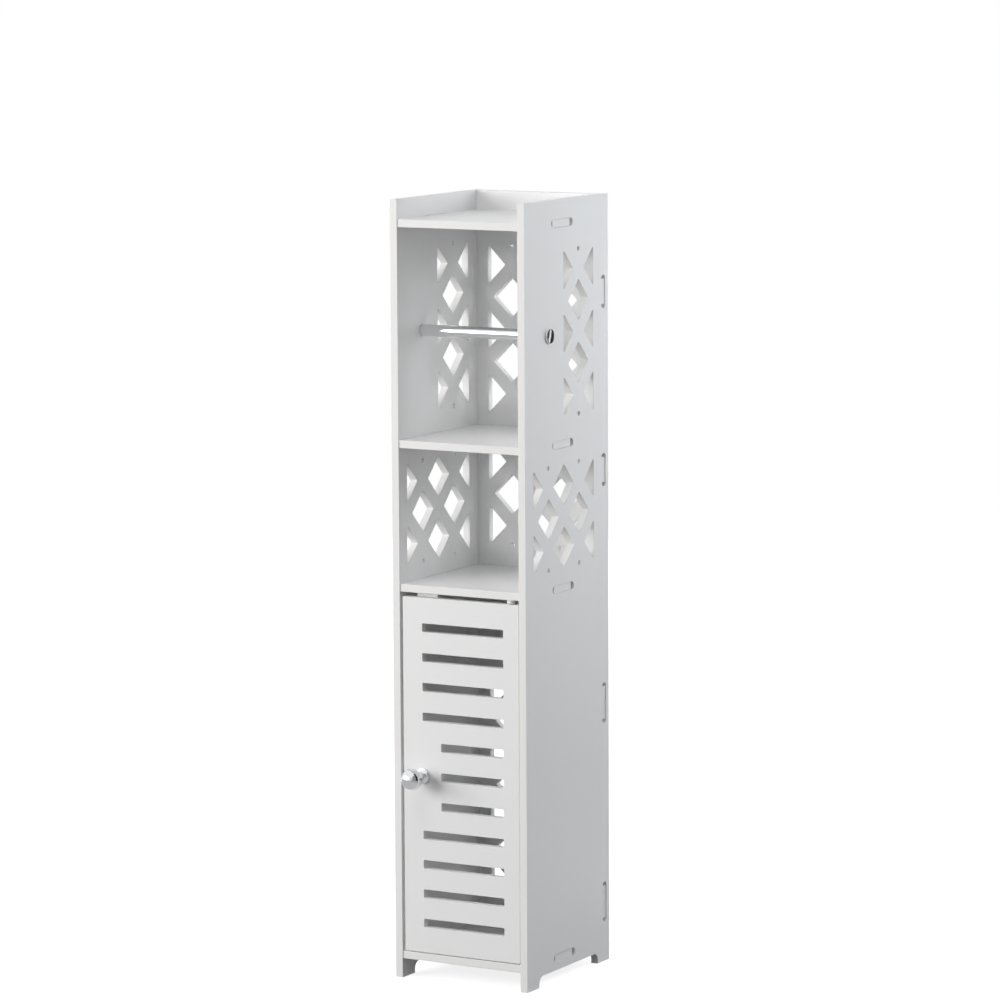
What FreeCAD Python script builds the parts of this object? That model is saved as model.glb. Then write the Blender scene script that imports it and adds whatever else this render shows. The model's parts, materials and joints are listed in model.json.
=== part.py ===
import FreeCAD, Part
import math
import os
import Sketcher

# Slim freestanding bathroom cabinet: a tray on top, a roll compartment with a pull-out rod,
# an open shelf and a cupboard with a louvred door.  White boards joined by tabs in slots.
# Frame: +X to the right, the front faces -Y, +Z up, floor at Z = 0.

# Driving sizes in millimetres, and counts where the note says so
SIZES = [
    ("width", 155, "outer faces of the two side panels"),
    ("depth", 175, "front edge to rear edge of a side panel"),
    ("height", 800, "floor to the top of the side panels"),
    ("board", 8, "thickness of every board"),
    ("setback", 1, "shelves and door behind the front edges of the side panels"),
    ("back_inset", 6, "back panels in front of the rear edges of the side panels"),
    ("tray_rim", 20, "rim round the top shelf"),
    ("roll_bay", 216, "clear height of the roll compartment"),
    ("open_bay", 139, "clear height of the open shelf"),
    ("floor_gap", 20, "floor to the underside of the bottom shelf"),
    ("foot_length", 25, "length of each foot along a side panel"),
    ("arch_height", 11.5, "height of the arch between the feet"),
    ("arch_radius", 8, "rounding at the two ends of the arch"),
    ("tab_gap", 0.2, "play between a tab and its slot"),
    ("tab_recess", 1, "end of a tab behind the outer face of the side panel"),
    ("shelf_tab", 36, "length of a shelf's tab"),
    ("shelf_tab_place", 78, "front edge to the middle of a shelf's tab"),
    ("upper_tab", 26, "length of a tab of the upper back panel"),
    ("lower_tab", 34, "length of a tab of the lower back panel"),
    ("roll_tab_drop", 72, "top shelf down to the first back tab"),
    ("open_tab_drop", 32, "middle shelf down to the second back tab"),
    ("cupboard_tab_drop", 128, "lower shelf down to the third back tab"),
    ("cupboard_tab_rise", 35, "bottom shelf up to the fourth back tab"),
    ("seam", 0.4, "gap between the two back panels"),
    ("row_step", 32, "half pitch of the trellis rows on the sides"),
    ("back_row_step", 33.5, "half pitch of the trellis rows on the back"),
    ("diamond", 42.5, "diagonal of a trellis opening"),
    ("trellis_trim", 0.5, "half openings stop this far inside the trellis edge"),
    ("trellis_front", 16, "front edge of a side panel to the edge of its wider trellis"),
    ("trellis_rear", 31, "rear edge of a side panel to the edges of its trellises"),
    ("trellis_side", 13, "side panel to the edge of a trellis on the back"),
    ("trellis_rise", 48.5, "bottom shelf up to the first trellis row behind the door"),
    ("roll_trellis_drop", 7.5, "middle of the roll compartment down to that of its back trellis"),
    ("open_trellis_lift", 6.5, "middle of the open shelf up to that of its back trellis"),
    ("dot", 5, "diameter of the round holes above and below a trellis"),
    ("dot_step", 20, "last trellis row to those holes"),
    ("roll_rows", 2, "count: trellis rows each side of the middle, roll compartment"),
    ("open_rows", 1, "count: the same at the open shelf"),
    ("cupboard_rows", 3, "count: the same behind the door"),
    ("door_gap_free", 3, "gap beside the knob edge of the door"),
    ("door_gap_hinge", 1.1, "gap beside the hinged edge of the door"),
    ("door_gap_top", 4.5, "gap above the door"),
    ("louvre_pitch", 30.6, "spacing of the louvre slots"),
    ("louvre_height", 9, "height of a louvre slot"),
    ("louvre_long", 94.5, "length of the long slots"),
    ("louvre_short", 73, "length of the slots beside the knob"),
    ("louvre_margin", 17.9, "hinged edge of the door to the ends of the slots"),
    ("louvre_end", 20, "least plain board above and below all the slots"),
    ("short_slots", 3, "count: short slots"),
    ("knob_place", 22.5, "free edge of the door to the knob"),
    ("knob_reach", 33, "door face to the front of the knob"),
    ("knob_ball", 22, "diameter of the knob's ball"),
    ("knob_neck", 8, "diameter of the neck and of the ball's seat"),
    ("knob_collar", 15.6, "diameter of the collar on the door"),
    ("collar_edge", 2, "straight edge of the collar"),
    ("collar_rise", 3, "length of the collar's slope up to the neck"),
    ("knob_thread", 4, "diameter of the knob's screw"),
    ("thread_depth", 9, "screw in the ball"),
    ("knob_screw_head", 8, "diameter of the knob screw's head"),
    ("knob_screw_rise", 2.4, "height of the knob screw's head"),
    ("pivot_place", 10.4, "hinged edge of the door to the pivot"),
    ("pivot_pin", 3, "diameter of the pivot pins"),
    ("pivot_collar", 8, "diameter of the pins' collars and the upper bush's flange"),
    ("pin_depth", 18, "pin in the edge of the door"),
    ("bush", 5, "outer diameter of the pivot bushes"),
    ("bush_depth", 6, "bush in its shelf"),
    ("pin_collar", 0.7, "thickness of the pins' collars"),
    ("pin_play", 0.08, "radial play of a pin in its bush"),
    ("fixed_play", 0.05, "radial play of pieces that are pressed or screwed in"),
    ("running_gap", 0.3, "clear space between moving faces"),
    ("catch_place", 24, "free edge of the door to the middle of the catch"),
    ("catch_width", 24, "catch along the door"),
    ("catch_depth", 12, "catch block, front to rear"),
    ("catch_height", 15, "catch below the shelf"),
    ("catch_ear", 9, "screwed ear behind the catch block"),
    ("ear_height", 3, "thickness of the ear"),
    ("magnet_width", 16, "magnet along the door"),
    ("magnet_height", 7, "magnet height"),
    ("magnet_depth", 5, "magnet, front to rear"),
    ("magnet_rise", 2.5, "underside of the catch to the magnet"),
    ("strike_width", 20, "strike plate along the door"),
    ("strike_height", 19, "strike plate height"),
    ("strike_thickness", 1, "strike plate thickness"),
    ("strike_drop", 1.5, "top edge of the door to the strike plate"),
    ("strike_screw_rise", 4, "lower edge of the strike plate to its screw"),
    ("small_screw", 2.5, "diameter of the catch screws"),
    ("small_head", 5, "diameter of their heads"),
    ("small_head_rise", 1.6, "height of their heads"),
    ("small_screw_grip", 5, "small screws in the board"),
    ("screw_spread", 13, "spacing of the two catch screws"),
    ("rod", 12, "outer diameter of the roll rod"),
    ("rod_wall", 1, "wall of the rod's tube"),
    ("rod_place", 50, "front edge to the middle of the rod"),
    ("rod_play", 0.25, "radial play of the rod in the side panels"),
    ("rod_overhang", 1.8, "rod past the left side panel"),
    ("rod_head", 16, "diameter of the rod's head"),
    ("rod_head_edge", 2.5, "thickness of the rod's head"),
    ("plug_edge", 1, "thickness of the rod's plug outside the tube"),
    ("spigot", 12, "head and plug inside the tube"),
]


class Size:
    """A length that carries both its number and the sheet expression that gives it."""

    def __init__(self, text, value):
        self.text = text
        self.value = value

    def joined(self, sign, other, value):
        return Size(f"({self.text} {sign} {other.text})", value)

    def __add__(self, other):
        other = as_size(other)
        return self.joined("+", other, self.value + other.value)

    def __sub__(self, other):
        other = as_size(other)
        return self.joined("-", other, self.value - other.value)

    def __mul__(self, other):
        other = as_size(other)
        return self.joined("*", other, self.value * other.value)

    def __truediv__(self, other):
        other = as_size(other)
        return self.joined("/", other, self.value / other.value)

    def __neg__(self):
        return Size(f"(0 - {self.text})", -self.value)

    def root(self):
        return Size(f"sqrt({self.text})", math.sqrt(self.value))

    def floor(self):
        return Size(f"floor({self.text})", math.floor(self.value))


def as_size(number):
    return number if isinstance(number, Size) else Size(repr(float(number)), float(number))


doc = FreeCAD.newDocument("roll_cabinet")
sheet = doc.addObject("Spreadsheet::Sheet", "Sizes")
for row, (alias, number, note) in enumerate(SIZES, start=1):
    sheet.set(f"A{row}", alias)
    sheet.set(f"B{row}", str(number))
    sheet.set(f"C{row}", note)
    sheet.setAlias(f"B{row}", alias)
doc.recompute()


def cell(alias):
    return Size(f"Sizes.{alias}", float(sheet.get(alias)))


ZERO = as_size(0)
sub_parts = []

# Places that several pieces share
board = cell("board")
half_width = cell("width") / 2
inner_side = half_width - board
front = (cell("knob_reach") - cell("setback") - cell("depth")) / 2
rear = front + cell("depth")
shelf_front = front + cell("setback")
back_outer = rear - cell("back_inset")
back_inner = back_outer - board
top_shelf_z = cell("height") - cell("tray_rim") - board
middle_shelf_z = top_shelf_z - cell("roll_bay") - board
lower_shelf_z = middle_shelf_z - cell("open_bay") - board
bottom_shelf_z = cell("floor_gap")
cupboard_floor = bottom_shelf_z + board
roll_middle = middle_shelf_z + board + cell("roll_bay") / 2
open_middle = lower_shelf_z + board + cell("open_bay") / 2
cupboard_middle = cupboard_floor + cell("trellis_rise") + cell("cupboard_rows") * cell("back_row_step")
tab_reach = board - cell("tab_recess")
shelf_tab_y = front + cell("shelf_tab_place")
upper_tab_heights = [top_shelf_z - cell("roll_tab_drop"), middle_shelf_z - cell("open_tab_drop")]
lower_tab_heights = [lower_shelf_z - cell("cupboard_tab_drop"),
                     cupboard_floor + cell("cupboard_tab_rise")]
back_split = lower_shelf_z + board / 2
door_inner = shelf_front + board
door_left = -inner_side + cell("door_gap_free")
door_right = inner_side - cell("door_gap_hinge")
door_bottom = cupboard_floor + cell("pin_collar") + cell("running_gap")
door_top = lower_shelf_z - cell("door_gap_top")
door_middle = (door_bottom + door_top) / 2
pivot_x = door_right - cell("pivot_place")
pivot_y = shelf_front + board / 2
knob_x = door_left + cell("knob_place")
catch_x = door_left + cell("catch_place")
catch_front = door_inner + cell("strike_thickness") + cell("running_gap")
catch_rear = catch_front + cell("catch_depth")
catch_screw_y = catch_rear + cell("catch_ear") / 2
strike_top = door_top - cell("strike_drop")
strike_screw_z = strike_top - cell("strike_height") + cell("strike_screw_rise")
rod_y = front + cell("rod_place")
fixed_play = cell("fixed_play")


# Helpers for sketches and features

def new_body(label):
    body = doc.addObject("PartDesign::Body", label)
    body.Label = label
    sub_parts.append(body)
    return body


def origin_feature(body, role):
    return [item for item in body.Origin.OriginFeatures if item.Role == role][0]


def move(item, x=None, y=None, z=None):
    for axis, place in (("x", x), ("y", y), ("z", z)):
        if place is not None:
            item.setExpression(f"Placement.Base.{axis}", place.text)


def turn(item, axis, angle):
    item.Placement = FreeCAD.Placement(FreeCAD.Vector(), FreeCAD.Rotation(axis, angle))


def new_sketch(body, name, role, lift=None):
    sketch = body.newObject("Sketcher::SketchObject", name)
    sketch.AttachmentSupport = [(origin_feature(body, role), "")]
    sketch.MapMode = "FlatFace"
    if lift is not None:
        sketch.setExpression("AttachmentOffset.Base.z", lift.text)
    return sketch


def point(x, y):
    return FreeCAD.Vector(x.value, y.value, 0)


def bind_constraint(sketch, kind, size, *where):
    index = sketch.addConstraint(Sketcher.Constraint(kind, *where, size.value))
    sketch.setExpression(f"Constraints[{index}]", size.text)


def pin_point(sketch, geometry, end, x, y):
    bind_constraint(sketch, "DistanceX", x, -1, 1, geometry, end)
    bind_constraint(sketch, "DistanceY", y, -1, 1, geometry, end)


def add_polygon(sketch, corners):
    first = sketch.GeometryCount
    count = len(corners)
    for i, (x, y) in enumerate(corners):
        ahead = corners[(i + 1) % count]
        sketch.addGeometry(Part.LineSegment(point(x, y), point(*ahead)))
    for i in range(count):
        ahead = first + (i + 1) % count
        sketch.addConstraint(Sketcher.Constraint("Coincident", first + i, 2, ahead, 1))
    for i, (x, y) in enumerate(corners):
        pin_point(sketch, first + i, 1, x, y)


def add_rectangle(sketch, left, right, bottom, top):
    add_polygon(sketch, [(left, bottom), (right, bottom), (right, top), (left, top)])


def add_circle(sketch, x, y, diameter):
    index = sketch.addGeometry(Part.Circle(point(x, y), FreeCAD.Vector(0, 0, 1), diameter.value / 2))
    pin_point(sketch, index, 3, x, y)
    bind_constraint(sketch, "Diameter", diameter, index)


def add_rounded(sketch, centres, radius):
    """A convex opening with round corners: arcs about the centres, counter-clockwise, and tangent lines."""
    count = len(centres)
    first = sketch.GeometryCount
    spots = [point(x, y) for x, y in centres]
    for i, spot in enumerate(spots):
        arrive = spot - spots[i - 1]
        leave = spots[(i + 1) % count] - spot
        start = math.atan2(arrive.y, arrive.x) - math.pi / 2
        sweep = (math.atan2(leave.y, leave.x) - math.pi / 2 - start) % (2 * math.pi)
        circle = Part.Circle(spot, FreeCAD.Vector(0, 0, 1), radius.value)
        sketch.addGeometry(Part.ArcOfCircle(circle, start, start + sweep))
    joints = []
    for i in range(count):
        ahead = first + (i + 1) % count
        start = sketch.getPoint(first + i, 2)
        end = sketch.getPoint(ahead, 1)
        line = sketch.addGeometry(Part.LineSegment(start, end))
        joints.append(Sketcher.Constraint("Tangent", first + i, 2, line, 1))
        joints.append(Sketcher.Constraint("Tangent", line, 2, ahead, 1))
    sketch.addConstraint(joints)
    for i, (x, y) in enumerate(centres):
        pin_point(sketch, first + i, 3, x, y)
        bind_constraint(sketch, "Radius", radius, first + i)


def add_rounded_rectangle(sketch, left, right, bottom, top, radius):
    corners = [(left + radius, bottom + radius), (right - radius, bottom + radius),
               (right - radius, top - radius), (left + radius, top - radius)]
    add_rounded(sketch, corners, radius)


def pad(body, sketch, length):
    feature = body.newObject("PartDesign::Pad", f"{sketch.Label}_pad")
    feature.Profile = sketch
    feature.setExpression("Length", length.text)
    doc.recompute()
    return feature


def pocket(body, sketch, length=None, backward=True):
    """Cut a sketch into the body, right through unless a length is given, and prove that it cut."""
    before = body.Shape.Volume
    feature = body.newObject("PartDesign::Pocket", f"{sketch.Label}_cut")
    feature.Profile = sketch
    feature.Reversed = backward
    if length is None:
        feature.Type = "ThroughAll"
    else:
        feature.setExpression("Length", length.text)
    doc.recompute()
    if body.Shape.Volume >= before:
        raise RuntimeError(f"{feature.Label} cut nothing")
    return feature


def repeat(body, feature, role, length, count):
    pattern = body.newObject("PartDesign::LinearPattern", f"{feature.Label}_row")
    pattern.Originals = [feature]
    pattern.Direction = (origin_feature(body, role), [""])
    pattern.setExpression("Length", length.text)
    pattern.setExpression("Occurrences", count.text)
    body.Tip = pattern
    doc.recompute()
    return pattern


def turned(body, name, profile):
    """Revolve a closed profile of (radius, height) corners about the body's own Z axis."""
    sketch = new_sketch(body, name, "XZ_Plane")
    add_polygon(sketch, profile)
    return revolve(body, sketch)


def revolve(body, sketch):
    feature = body.newObject("PartDesign::Revolution", f"{sketch.Label}_turned")
    feature.Profile = sketch
    feature.ReferenceAxis = (sketch, ["V_Axis"])
    feature.Angle = 360
    doc.recompute()
    return feature


# The trellis: square openings on their corners, halved at the two upright edges.
# Columns are counted each way from the middle one.
ROLL_COLUMNS = 1
OPEN_COLUMNS = 2
BACK_COLUMNS = 2
side_step = (cell("depth") - cell("trellis_front") - cell("trellis_rear")) / (2 * OPEN_COLUMNS)
back_step = (inner_side - cell("trellis_side")) / BACK_COLUMNS


def trellis_row(sketch, centre_x, height, step, columns, first_column):
    """Openings of one row, every second column, with half openings in the outermost columns."""
    half = cell("diamond") / 2
    trim = cell("trellis_trim")
    for column in range(first_column, columns + 1, 2):
        x = centre_x + step * column
        if abs(column) < columns:
            corners = [(x - half, height), (x, height - half), (x + half, height), (x, height + half)]
        else:
            inward = -1 if column > 0 else 1
            edge = x + trim * inward
            rise = (half - trim) * inward
            corners = [(edge, height - rise), (x + half * inward, height), (edge, height + rise)]
        add_polygon(sketch, corners)


def trellis(body, name, role, centre_x, middle, step, row_step, columns, rows, dot_sides=(-1, 1)):
    """Rows of openings about a middle height, with lines of round holes below (-1) and above (1) them."""
    pitch = row_step * 2
    outer = new_sketch(body, f"{name}_outer", role)
    trellis_row(outer, centre_x, middle - row_step * rows, step, columns, -columns)
    repeat(body, pocket(body, outer), "Z_Axis", pitch * rows, rows + 1)
    inner = new_sketch(body, f"{name}_inner", role)
    trellis_row(inner, centre_x, middle - row_step * (rows - 1), step, columns, 1 - columns)
    cut = pocket(body, inner)
    if rows.value > 1:
        repeat(body, cut, "Z_Axis", pitch * (rows - 1), rows)
    dots = new_sketch(body, f"{name}_dots", role)
    reach = row_step * rows + cell("dot_step")
    for column in range(1 - columns, columns, 2):
        for side in dot_sides:
            add_circle(dots, centre_x + step * column, middle + reach * side, cell("dot"))
    pocket(body, dots)


# Side panels

def side_panel(label, left_face):
    body = new_body(label)
    outline = new_sketch(body, f"{label}_outline", "YZ_Plane")
    add_rectangle(outline, front, rear, ZERO, cell("height"))
    pad(body, outline, board)

    fields = [("roll", roll_middle, ROLL_COLUMNS, cell("roll_rows")),
              ("open", open_middle, OPEN_COLUMNS, cell("open_rows"))]
    for name, middle, columns, rows in fields:
        centre = rear - cell("trellis_rear") - side_step * columns
        trellis(body, f"{label}_{name}", "YZ_Plane", centre, middle, side_step, cell("row_step"),
                columns, rows)

    slots = new_sketch(body, f"{label}_slots", "YZ_Plane")
    slot_radius = board / 2 + cell("tab_gap")
    play = cell("tab_gap") * 2
    tab_x = back_inner + board / 2
    shelf_half = (cell("shelf_tab") + play) / 2
    slot_front = shelf_tab_y - shelf_half
    slot_rear = shelf_tab_y + shelf_half
    for underside in (top_shelf_z, middle_shelf_z, lower_shelf_z, bottom_shelf_z):
        height = underside + board / 2
        add_rounded(slots, [(slot_front, height), (slot_rear, height)], slot_radius)
    back_tabs = [(upper_tab_heights, cell("upper_tab")), (lower_tab_heights, cell("lower_tab"))]
    for heights, length in back_tabs:
        back_half = (length + play) / 2
        for height in heights:
            add_rounded(slots, [(tab_x, height - back_half), (tab_x, height + back_half)], slot_radius)
    pocket(body, slots)

    rod_hole = new_sketch(body, f"{label}_rod_hole", "YZ_Plane")
    add_circle(rod_hole, rod_y, roll_middle, cell("rod") + cell("rod_play") * 2)
    pocket(body, rod_hole)

    arch = new_sketch(body, f"{label}_arch", "YZ_Plane")
    add_rounded_rectangle(arch, front + cell("foot_length"), rear - cell("foot_length"),
                          -cell("arch_height"), cell("arch_height"), cell("arch_radius"))
    pocket(body, arch)
    move(body, x=left_face)


side_panel("left_side_panel", -half_width)
side_panel("right_side_panel", inner_side)


# Shelves

def shelf(label, underside):
    """A board between the side panels with one tab through each of them."""
    body = new_body(label)
    outline = new_sketch(body, f"{label}_outline", "XY_Plane")
    tab_front = shelf_tab_y - cell("shelf_tab") / 2
    tab_rear = shelf_tab_y + cell("shelf_tab") / 2
    tip = inner_side + tab_reach
    right = [(inner_side, shelf_front), (inner_side, tab_front), (tip, tab_front),
             (tip, tab_rear), (inner_side, tab_rear), (inner_side, back_inner)]
    add_polygon(outline, right + [(-x, y) for x, y in reversed(right)])
    pad(body, outline, board)
    move(body, z=underside)
    return body


shelf("top_shelf", top_shelf_z)
shelf("middle_shelf", middle_shelf_z)
lower_shelf = shelf("lower_shelf", lower_shelf_z)
bottom_shelf = shelf("bottom_shelf", bottom_shelf_z)


def bush_seat(body, label, lift, backward):
    seat = new_sketch(body, f"{label}_bush_seat", "XY_Plane", lift)
    add_circle(seat, pivot_x, pivot_y, cell("bush") + fixed_play * 2)
    pocket(body, seat, cell("bush_depth"), backward)


bush_seat(lower_shelf, "lower_shelf", ZERO, True)
bush_seat(bottom_shelf, "bottom_shelf", board, False)
pilot_holes = new_sketch(lower_shelf, "catch_pilot_holes", "XY_Plane")
for side in (-1, 1):
    pilot_x = catch_x + cell("screw_spread") / 2 * side
    add_circle(pilot_holes, pilot_x, catch_screw_y, cell("small_screw") + fixed_play * 2)
pocket(lower_shelf, pilot_holes, cell("small_screw_grip"))


# Back panels, which meet behind the lower shelf

def back_panel(label, bottom, top, tab_heights, tab, fields):
    body = new_body(label)
    outline = new_sketch(body, f"{label}_outline", "XZ_Plane")
    tip = inner_side + tab_reach
    right = [(inner_side, top)]
    for height in tab_heights:
        right += [(inner_side, height + tab / 2), (tip, height + tab / 2),
                  (tip, height - tab / 2), (inner_side, height - tab / 2)]
    right.append((inner_side, bottom))
    add_polygon(outline, right + [(-x, z) for x, z in reversed(right)])
    pad(body, outline, board)

    for name, middle, rows, dot_sides in fields:
        trellis(body, f"{label}_{name}", "XZ_Plane", ZERO, middle, back_step, cell("back_row_step"),
                BACK_COLUMNS, rows, dot_sides)
    move(body, y=back_outer)


upper_fields = [("roll", roll_middle - cell("roll_trellis_drop"), cell("roll_rows"), (1,)),
                ("open", open_middle + cell("open_trellis_lift"), cell("open_rows"), (-1,))]
lower_fields = [("cupboard", cupboard_middle, cell("cupboard_rows"), (-1, 1))]
back_panel("upper_back_panel", back_split, cell("height"),
           upper_tab_heights, cell("upper_tab"), upper_fields)
back_panel("lower_back_panel", bottom_shelf_z, back_split - cell("seam"),
           lower_tab_heights, cell("lower_tab"), lower_fields)


# Door: a board with rows of slots, shorter beside the knob

def louvre_group(body, name, lowest, count, length):
    slot_right = door_right - cell("louvre_margin")
    half = cell("louvre_height") / 2
    sketch = new_sketch(body, name, "XZ_Plane")
    add_rectangle(sketch, slot_right - length, slot_right, lowest - half, lowest + half)
    cut = pocket(body, sketch)
    repeat(body, cut, "Z_Axis", cell("louvre_pitch") * (count - 1), count)


def door_panel():
    body = new_body("door_panel")
    outline = new_sketch(body, "door_outline", "XZ_Plane")
    add_rectangle(outline, door_left, door_right, door_bottom, door_top)
    pad(body, outline, board)

    pitch = cell("louvre_pitch")
    strip = pitch - cell("louvre_height")
    half_field = (door_top - door_bottom + strip) / 2 - cell("louvre_end")
    long_slots = (half_field / pitch - cell("short_slots") / 2).floor()
    short_start = door_middle - pitch * (cell("short_slots") - 1) / 2
    low_start = short_start - pitch * long_slots
    high_start = short_start + pitch * cell("short_slots")
    louvre_group(body, "low_louvres", low_start, long_slots, cell("louvre_long"))
    louvre_group(body, "short_louvres", short_start, cell("short_slots"), cell("louvre_short"))
    louvre_group(body, "high_louvres", high_start, long_slots, cell("louvre_long"))

    knob_hole = new_sketch(body, "knob_hole", "XZ_Plane")
    add_circle(knob_hole, knob_x, door_middle, cell("knob_thread") + fixed_play * 2)
    pocket(body, knob_hole)
    strike_pilot = new_sketch(body, "strike_pilot", "XZ_Plane")
    add_circle(strike_pilot, catch_x, strike_screw_z, cell("small_screw") + fixed_play * 2)
    pocket(body, strike_pilot, cell("small_screw_grip"))
    pin_holes = [("top_pin_hole", door_top, False), ("bottom_pin_hole", door_bottom, True)]
    for name, height, backward in pin_holes:
        hole = new_sketch(body, name, "XY_Plane", height)
        add_circle(hole, pivot_x, -board / 2, cell("pivot_pin") + fixed_play * 2)
        pocket(body, hole, cell("pin_depth"), backward)
    move(body, y=door_inner)


door_panel()


# Knob: a collar with a neck, a ball on its seat and the screw that draws both to the door

ball_radius = cell("knob_ball") / 2
seat_radius = cell("knob_neck") / 2
thread_radius = cell("knob_thread") / 2
seat_drop = (ball_radius * ball_radius - seat_radius * seat_radius).root()
knob_stand = cell("knob_reach") - ball_radius - seat_drop


def face_front(body, x, y, z):
    """Turn a piece made about +Z so that its axis points to the front, and move it into place."""
    turn(body, FreeCAD.Vector(1, 0, 0), 90)
    move(body, x, y, z)


def knob_collar():
    body = new_body("knob_collar")
    bore = thread_radius + fixed_play
    edge = cell("collar_edge")
    shoulder = edge + cell("collar_rise")
    profile = [(bore, ZERO), (cell("knob_collar") / 2, ZERO), (cell("knob_collar") / 2, edge),
               (seat_radius, shoulder), (seat_radius, knob_stand), (bore, knob_stand)]
    turned(body, "collar_profile", profile)
    face_front(body, knob_x, shelf_front, door_middle)


def knob_ball():
    """Half round profile: seat, hole for the screw and an arc from the seat to the front."""
    body = new_body("knob_ball")
    sketch = new_sketch(body, "ball_profile", "XZ_Plane")
    bore = thread_radius + fixed_play
    hole_top = cell("thread_depth") + cell("running_gap") - seat_drop
    corners = [(ZERO, ball_radius), (ZERO, hole_top), (bore, hole_top), (bore, -seat_drop),
               (seat_radius, -seat_drop)]
    for start, end in zip(corners, corners[1:]):
        sketch.addGeometry(Part.LineSegment(point(*start), point(*end)))
    lines = len(corners) - 1
    circle = Part.Circle(FreeCAD.Vector(), FreeCAD.Vector(0, 0, 1), ball_radius.value)
    seat_angle = -math.acos(seat_radius.value / ball_radius.value)
    sketch.addGeometry(Part.ArcOfCircle(circle, seat_angle, math.pi / 2))
    links = [Sketcher.Constraint("Coincident", i, 2, i + 1, 1) for i in range(lines)]
    links.append(Sketcher.Constraint("Coincident", lines, 2, 0, 1))
    links.append(Sketcher.Constraint("Coincident", lines, 3, -1, 1))
    sketch.addConstraint(links)
    for i, (x, z) in enumerate(corners[1:], start=1):
        end = (i, 1) if i < lines else (lines - 1, 2)
        pin_point(sketch, *end, x, z)
    sketch.addConstraint(Sketcher.Constraint("PointOnObject", 0, 1, -2))
    revolve(body, sketch)
    face_front(body, knob_x, shelf_front - knob_stand - seat_drop, door_middle)


def pan_screw(body, name, shank, length, head, head_rise):
    """A screw about +Z: its head below the origin, its shank above."""
    profile = [(ZERO, -head_rise), (head / 2, -head_rise), (head / 2, ZERO),
               (shank / 2, ZERO), (shank / 2, length), (ZERO, length)]
    return turned(body, name, profile)


def knob_screw():
    body = new_body("knob_screw")
    length = board + knob_stand + cell("thread_depth")
    pan_screw(body, "knob_screw_profile", cell("knob_thread"), length,
              cell("knob_screw_head"), cell("knob_screw_rise"))
    face_front(body, knob_x, door_inner, door_middle)


knob_collar()
knob_ball()
knob_screw()


# Pivots: a collared pin in each end of the door, turning in a bush in the shelf.
# The upper bush has a deep flange that fills the gap above the door; the lower one is flush.

def pivot_pin(label, gap, z, upward):
    body = new_body(label)
    pin = cell("pivot_pin") / 2
    collar = cell("pin_collar")
    tip = gap + cell("bush_depth") - cell("running_gap")
    wide = cell("pivot_collar") / 2
    profile = [(ZERO, -cell("pin_depth")), (pin, -cell("pin_depth")), (pin, ZERO), (wide, ZERO),
               (wide, collar), (pin, collar), (pin, tip), (ZERO, tip)]
    turned(body, f"{label}_profile", profile)
    if not upward:
        turn(body, FreeCAD.Vector(1, 0, 0), 180)
    move(body, pivot_x, pivot_y, z)


def pivot_bush(label, bottom, top, flange):
    """A sleeve from bottom to top, with a wider flange of this depth at its bottom end, if any."""
    body = new_body(label)
    bore = cell("pivot_pin") / 2 + cell("pin_play")
    outer = cell("bush") / 2
    wide = cell("pivot_collar") / 2
    profile = [(bore, ZERO), (outer, ZERO)]
    if flange:
        profile = [(bore, ZERO), (wide, ZERO), (wide, flange), (outer, flange)]
    turned(body, f"{label}_profile", profile + [(outer, top - bottom), (bore, top - bottom)])
    move(body, pivot_x, pivot_y, bottom)


lower_gap = door_bottom - cupboard_floor
flange_depth = cell("door_gap_top") - lower_gap
pivot_pin("upper_pivot_pin", cell("door_gap_top"), door_top, True)
pivot_pin("lower_pivot_pin", lower_gap, door_bottom, False)
pivot_bush("upper_pivot_bush", lower_shelf_z - flange_depth, lower_shelf_z + cell("bush_depth"),
           flange_depth)
pivot_bush("lower_pivot_bush", cupboard_floor - cell("bush_depth"), cupboard_floor, None)


# Magnetic catch under the lower shelf, and its strike plate on the door

magnet_bottom = lower_shelf_z - cell("catch_height") + cell("magnet_rise")
magnet_top = magnet_bottom + cell("magnet_height")


def catch_housing():
    body = new_body("catch_housing")
    profile = new_sketch(body, "catch_profile", "YZ_Plane")
    block_bottom = lower_shelf_z - cell("catch_height")
    ear_bottom = lower_shelf_z - cell("ear_height")
    ear_rear = catch_rear + cell("catch_ear")
    add_polygon(profile, [(catch_front, block_bottom), (catch_rear, block_bottom),
                          (catch_rear, ear_bottom), (ear_rear, ear_bottom),
                          (ear_rear, lower_shelf_z), (catch_front, lower_shelf_z)])
    pad(body, profile, cell("catch_width"))

    pocket_sketch = new_sketch(body, "magnet_pocket", "XZ_Plane", -catch_front)
    middle = cell("catch_width") / 2
    half = cell("magnet_width") / 2 + fixed_play
    add_rectangle(pocket_sketch, middle - half, middle + half,
                  magnet_bottom - fixed_play, magnet_top + fixed_play)
    pocket(body, pocket_sketch, cell("magnet_depth") + fixed_play, False)

    holes = new_sketch(body, "catch_screw_holes", "XY_Plane", lower_shelf_z)
    for side in (-1, 1):
        hole_x = middle + cell("screw_spread") / 2 * side
        add_circle(holes, hole_x, catch_screw_y, cell("small_screw") + fixed_play * 2)
    pocket(body, holes, cell("ear_height"), False)
    move(body, x=catch_x - middle)


def block(label, x, y, z, long, deep, tall):
    body = new_body(label)
    outline = new_sketch(body, f"{label}_outline", "XY_Plane")
    add_rectangle(outline, ZERO, long, ZERO, deep)
    pad(body, outline, tall)
    move(body, x, y, z)
    return body


def catch_screws():
    body = new_body("catch_screws")
    length = cell("ear_height") + cell("small_screw_grip")
    screw = pan_screw(body, "catch_screw_profile", cell("small_screw"), length,
                      cell("small_head"), cell("small_head_rise"))
    repeat(body, screw, "X_Axis", cell("screw_spread"), as_size(2))
    move(body, catch_x - cell("screw_spread") / 2, catch_screw_y, lower_shelf_z - cell("ear_height"))


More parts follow.
